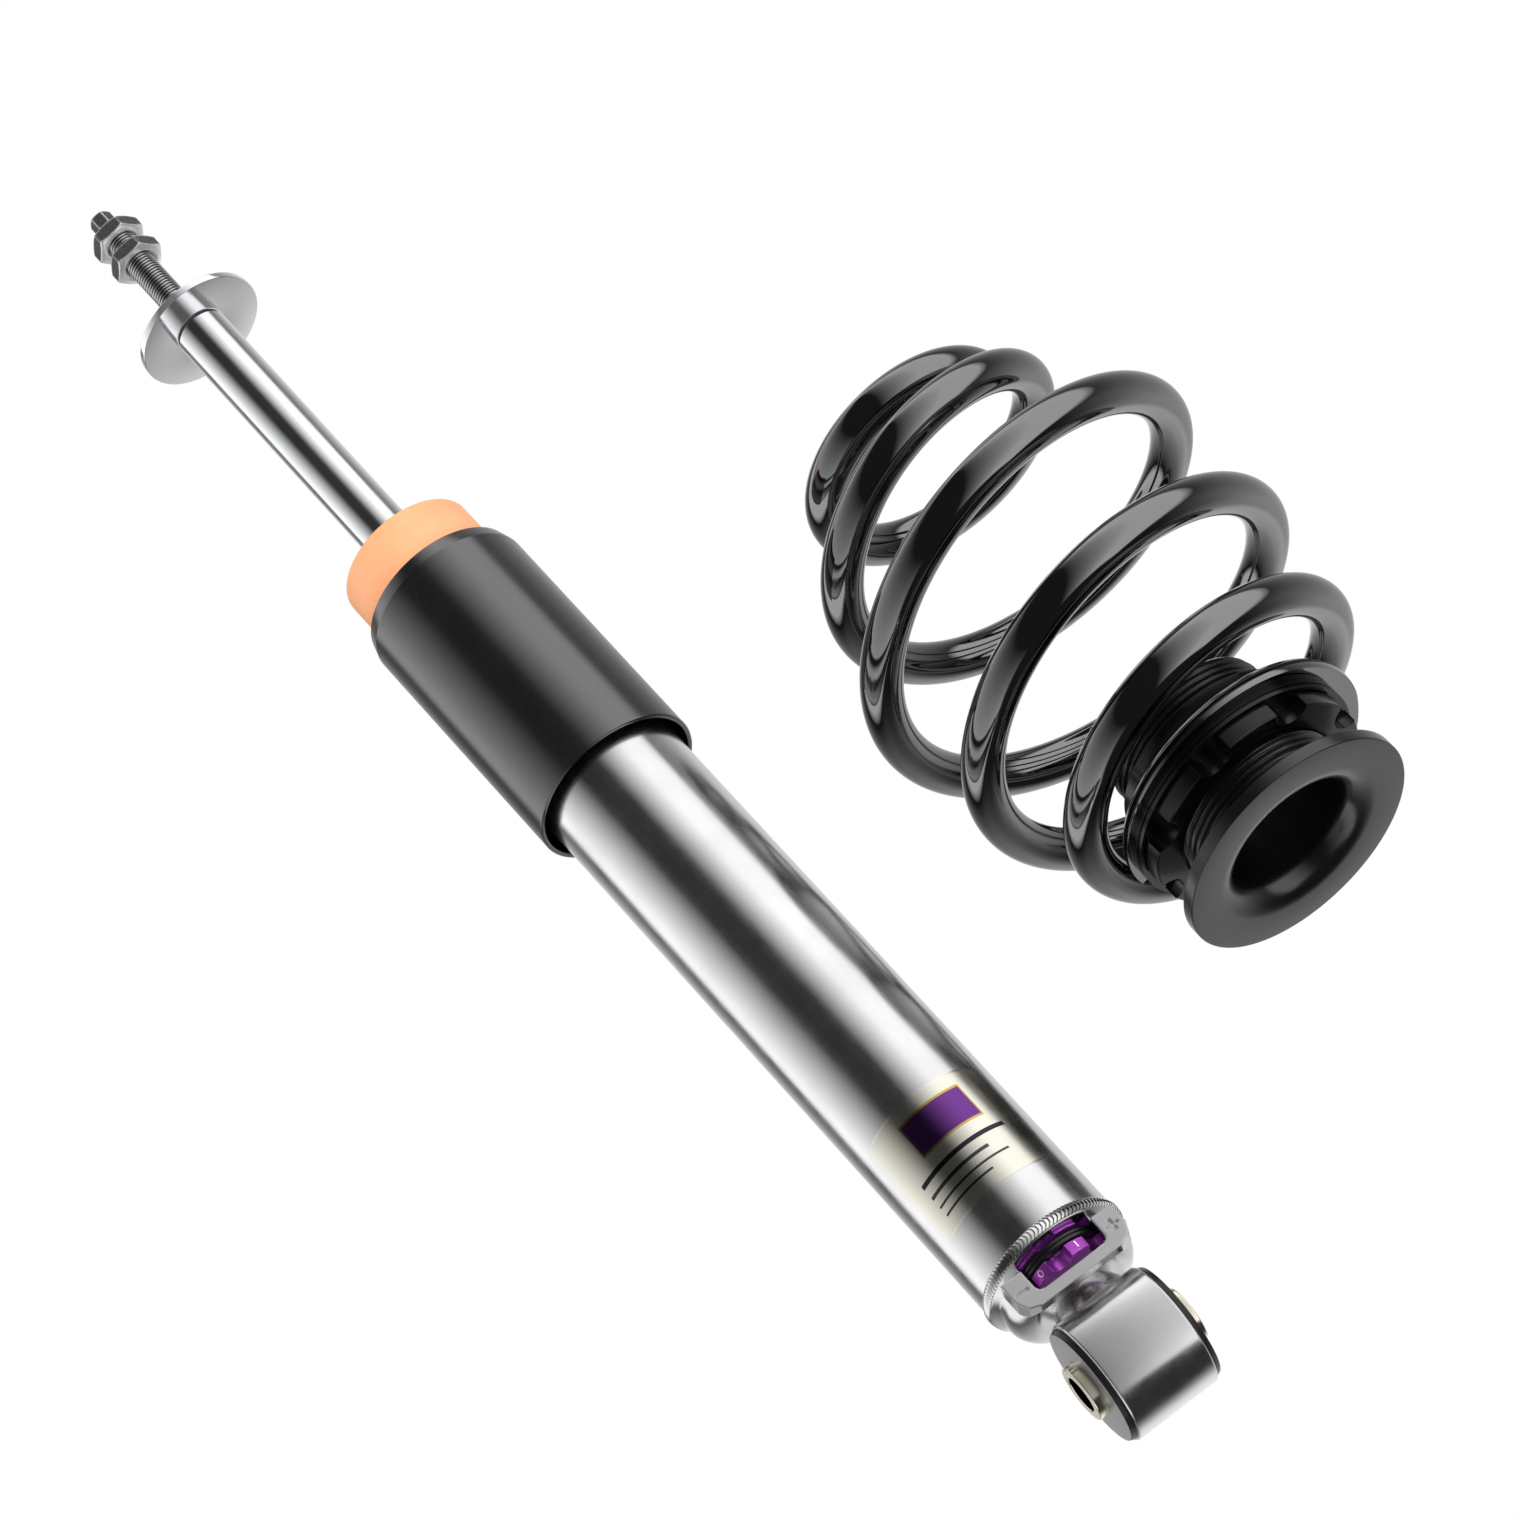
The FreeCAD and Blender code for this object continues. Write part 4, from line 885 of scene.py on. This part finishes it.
def make_spring():
    """Coated wire along the course, thinner and ground flat where it stands on the ring."""
    low, high = span("coil_spring")
    perch_low, perch_high = span("perch_base")
    axis = (perch_low.x + perch_high.x) / 2
    seat = low.z
    around = 40
    step = 2.0
    first, last = SPRING_COURSE[0][0], SPRING_COURSE[-1][0]
    count = round((last - first) / step)
    course, wires = [], []
    for number in range(count + 1):
        turn = first + (last - first) * number / count
        height, radius, wire = course_at(turn)
        angle = math.radians(turn)
        course.append(Vector((axis + radius * math.cos(angle), radius * math.sin(angle),
                              height)))
        wires.append(wire)
    points = []
    for number, middle in enumerate(course):
        ahead = course[min(number + 1, count)] - course[max(number - 1, 0)]
        ahead.normalize()
        side = ahead.cross(Vector((0, 0, 1))).normalized()
        lift = side.cross(ahead)
        for turn in range(around):
            angle = TURN * turn / around
            arm = side * math.cos(angle) + lift * math.sin(angle)
            point = middle + arm * wires[number]
            points.append((point.x, point.y, max(point.z, seat)))
    faces = []
    for number in range(count):
        for turn in range(around):
            after = (turn + 1) % around
            faces.append((number * around + turn, number * around + after,
                          (number + 1) * around + after, (number + 1) * around + turn))
    faces.append(tuple(reversed(range(around))))
    faces.append(tuple(range(count * around, (count + 1) * around)))
    return add_piece("spring_wire", points, faces, "coil_spring", "spring")


# ---- stage, light and camera -----------------------------------------------------------------

def world_ramp(tree, source, across, low, high, smooth=True):
    item = tree.nodes.new("ShaderNodeMapRange")
    item.interpolation_type = "SMOOTHSTEP" if smooth else "LINEAR"
    tree.links.new(source, item.inputs["Value"])
    item.inputs["From Min"].default_value = across[0]
    item.inputs["From Max"].default_value = across[1]
    item.inputs["To Min"].default_value = low
    item.inputs["To Max"].default_value = high
    return item.outputs[0]


def world_math(tree, operation, first, second=0.0):
    item = tree.nodes.new("ShaderNodeMath")
    item.operation = operation
    for socket, value in zip(item.inputs, (first, second)):
        if isinstance(value, bpy.types.NodeSocket):
            tree.links.new(value, socket)
        else:
            socket.default_value = value
    return item.outputs[0]


def panel(tree, azimuth, height, rise, fall, floor, strength):
    """A soft light panel of the studio.

    azimuth and height are the direction's angles in degrees; rise and fall are the azimuths
    between which the panel brightens and fades, floor the heights at its lower edge.
    """
    rising = world_ramp(tree, azimuth, rise, 0.0, 1.0, smooth=False)
    falling = world_ramp(tree, azimuth, fall, 1.0, 0.0, smooth=False)
    standing = world_ramp(tree, height, floor, 0.0, 1.0)
    both = world_math(tree, "MULTIPLY", rising, falling)
    shape = world_math(tree, "MULTIPLY", both, standing)
    return world_math(tree, "MULTIPLY", shape, strength)


def make_world():
    """White to the camera; to the object, a dark studio with four tall soft panels."""
    world = bpy.data.worlds.new("studio")
    bpy.context.scene.world = world
    world.use_nodes = True
    tree = world.node_tree
    tree.nodes.clear()
    direction = tree.nodes.new("ShaderNodeTexCoord").outputs["Generated"]
    turn = tree.nodes.new("ShaderNodeVectorRotate")
    turn.rotation_type = "Z_AXIS"
    turn.inputs["Angle"].default_value = math.radians(-65)
    tree.links.new(direction, turn.inputs["Vector"])
    parts = tree.nodes.new("ShaderNodeSeparateXYZ")
    tree.links.new(turn.outputs[0], parts.inputs[0])
    x, y, z = parts.outputs
    # -115..245 degrees, counter-clockwise from +X; the seam lies in the dark.
    degrees = world_math(tree, "MULTIPLY", world_math(tree, "ARCTAN2", y, x), 180 / math.pi)
    azimuth = world_math(tree, "ADD", degrees, 65.0)
    height = world_math(tree, "MULTIPLY", world_math(tree, "ARCSINE", z), 180 / math.pi)
    panels = [
        panel(tree, azimuth, height, (138, 145), (154, 226), (-67, -58), 1.26),
        panel(tree, azimuth, height, (-96, -54), (-22, -14), (-67, -62), 1.24),
        panel(tree, azimuth, height, (-22, 44), (92, 136), (-56, -16), 0.70),
        panel(tree, azimuth, height, (62, 70), (74, 100), (-54, -4), 0.34),
    ]
    total = 0.03
    for item in panels:
        total = world_math(tree, "ADD", item, total)
    studio = tree.nodes.new("ShaderNodeBackground")
    studio.inputs["Color"].default_value = (1, 1, 1, 1)
    tree.links.new(total, studio.inputs["Strength"])
    white = tree.nodes.new("ShaderNodeBackground")
    white.inputs["Color"].default_value = (1, 1, 1, 1)
    path = tree.nodes.new("ShaderNodeLightPath")
    choose = tree.nodes.new("ShaderNodeMixShader")
    tree.links.new(path.outputs["Is Camera Ray"], choose.inputs[0])
    tree.links.new(studio.outputs[0], choose.inputs[1])
    tree.links.new(white.outputs[0], choose.inputs[2])
    output = tree.nodes.new("ShaderNodeOutputWorld")
    tree.links.new(choose.outputs[0], output.inputs[0])


def make_area_light(name, place, target, size, power):
    """A soft box that fills matt surfaces and stays out of the reflections."""
    data = bpy.data.lights.new(name, "AREA")
    data.size = size
    data.energy = power
    lamp = bpy.data.objects.new(name, data)
    bpy.context.scene.collection.objects.link(lamp)
    lamp.location = place
    lamp.rotation_euler = (Vector(target) - Vector(place)).to_track_quat("-Z", "Y").to_euler()
    lamp.visible_glossy = False
    return lamp


def make_floor():
    """Pale floor under the eye, seen from above only, so that a low camera looks past it."""
    level = CAD_BOX[0][2]
    points = [Vector((x, y, level)) for x, y in ((-4, -4), (4, -4), (4, 4), (-4, 4))]
    mesh = bpy.data.meshes.new("studio_floor")
    mesh.from_pydata(points, [], [(0, 1, 2, 3)])
    floor = bpy.data.objects.new("studio_floor", mesh)
    bpy.context.scene.collection.objects.link(floor)
    finish = Finish("floor_paper", Roughness=0.9)
    grain = finish.noise(300.0)
    finish.set("Base Color", finish.mix(grain, (0.84, 0.84, 0.84), (0.87, 0.87, 0.87)))
    clear = finish.node("ShaderNodeBsdfTransparent")
    side = finish.node("ShaderNodeNewGeometry").outputs["Backfacing"]
    choose = finish.node("ShaderNodeMixShader")
    finish.feed(choose.inputs[0], side)
    finish.feed(choose.inputs[1], finish.shader.outputs[0])
    finish.feed(choose.inputs[2], clear.outputs[0])
    finish.feed(finish.tree.nodes["Material Output"].inputs[0], choose.outputs[0])
    mesh.materials.append(finish.material)
    floor.visible_glossy = False
    floor.visible_diffuse = False
    floor.visible_shadow = False


def make_camera():
    """Low three-quarter view from the window side, with the damper leaning left."""
    right = Vector((0.79181, 0.17856, -0.58408))
    up = Vector((0.57959, -0.52132, 0.62635))
    data = bpy.data.cameras.new("view")
    data.lens = 165.33
    data.sensor_width = 36.0
    data.clip_end = 50.0
    camera = bpy.data.objects.new("view", data)
    bpy.context.scene.collection.objects.link(camera)
    turn = Matrix((right, up, right.cross(up))).transposed().to_4x4()
    camera.matrix_world = Matrix.Translation((-0.38605, -1.84511, -0.89642)) @ turn
    bpy.context.scene.camera = camera


dress_cad_nodes()
make_weld_bead()
make_label_piece()
make_rod()
make_perch()
make_eye()
make_dial_seal()
make_tube()
make_dust_sleeve()
make_bump_stop()
make_washer()
make_nut("lower_nut", "nut_lower")
make_nut("upper_nut", "nut_upper")
make_spring()
make_world()
make_floor()
make_camera()
make_area_light("key_fill", (-0.9, -1.6, 0.9), (0.07, 0, 0.3), 1.6, 28)
make_area_light("side_fill", (1.5, -0.9, 0.2), (0.07, 0, 0.3), 1.4, 14)
make_area_light("low_fill", (-0.3, -1.4, -0.9), (0.07, 0, 0.3), 1.2, 14)
bpy.context.scene.view_settings.view_transform = "Standard"
bpy.context.scene.view_settings.look = "None"
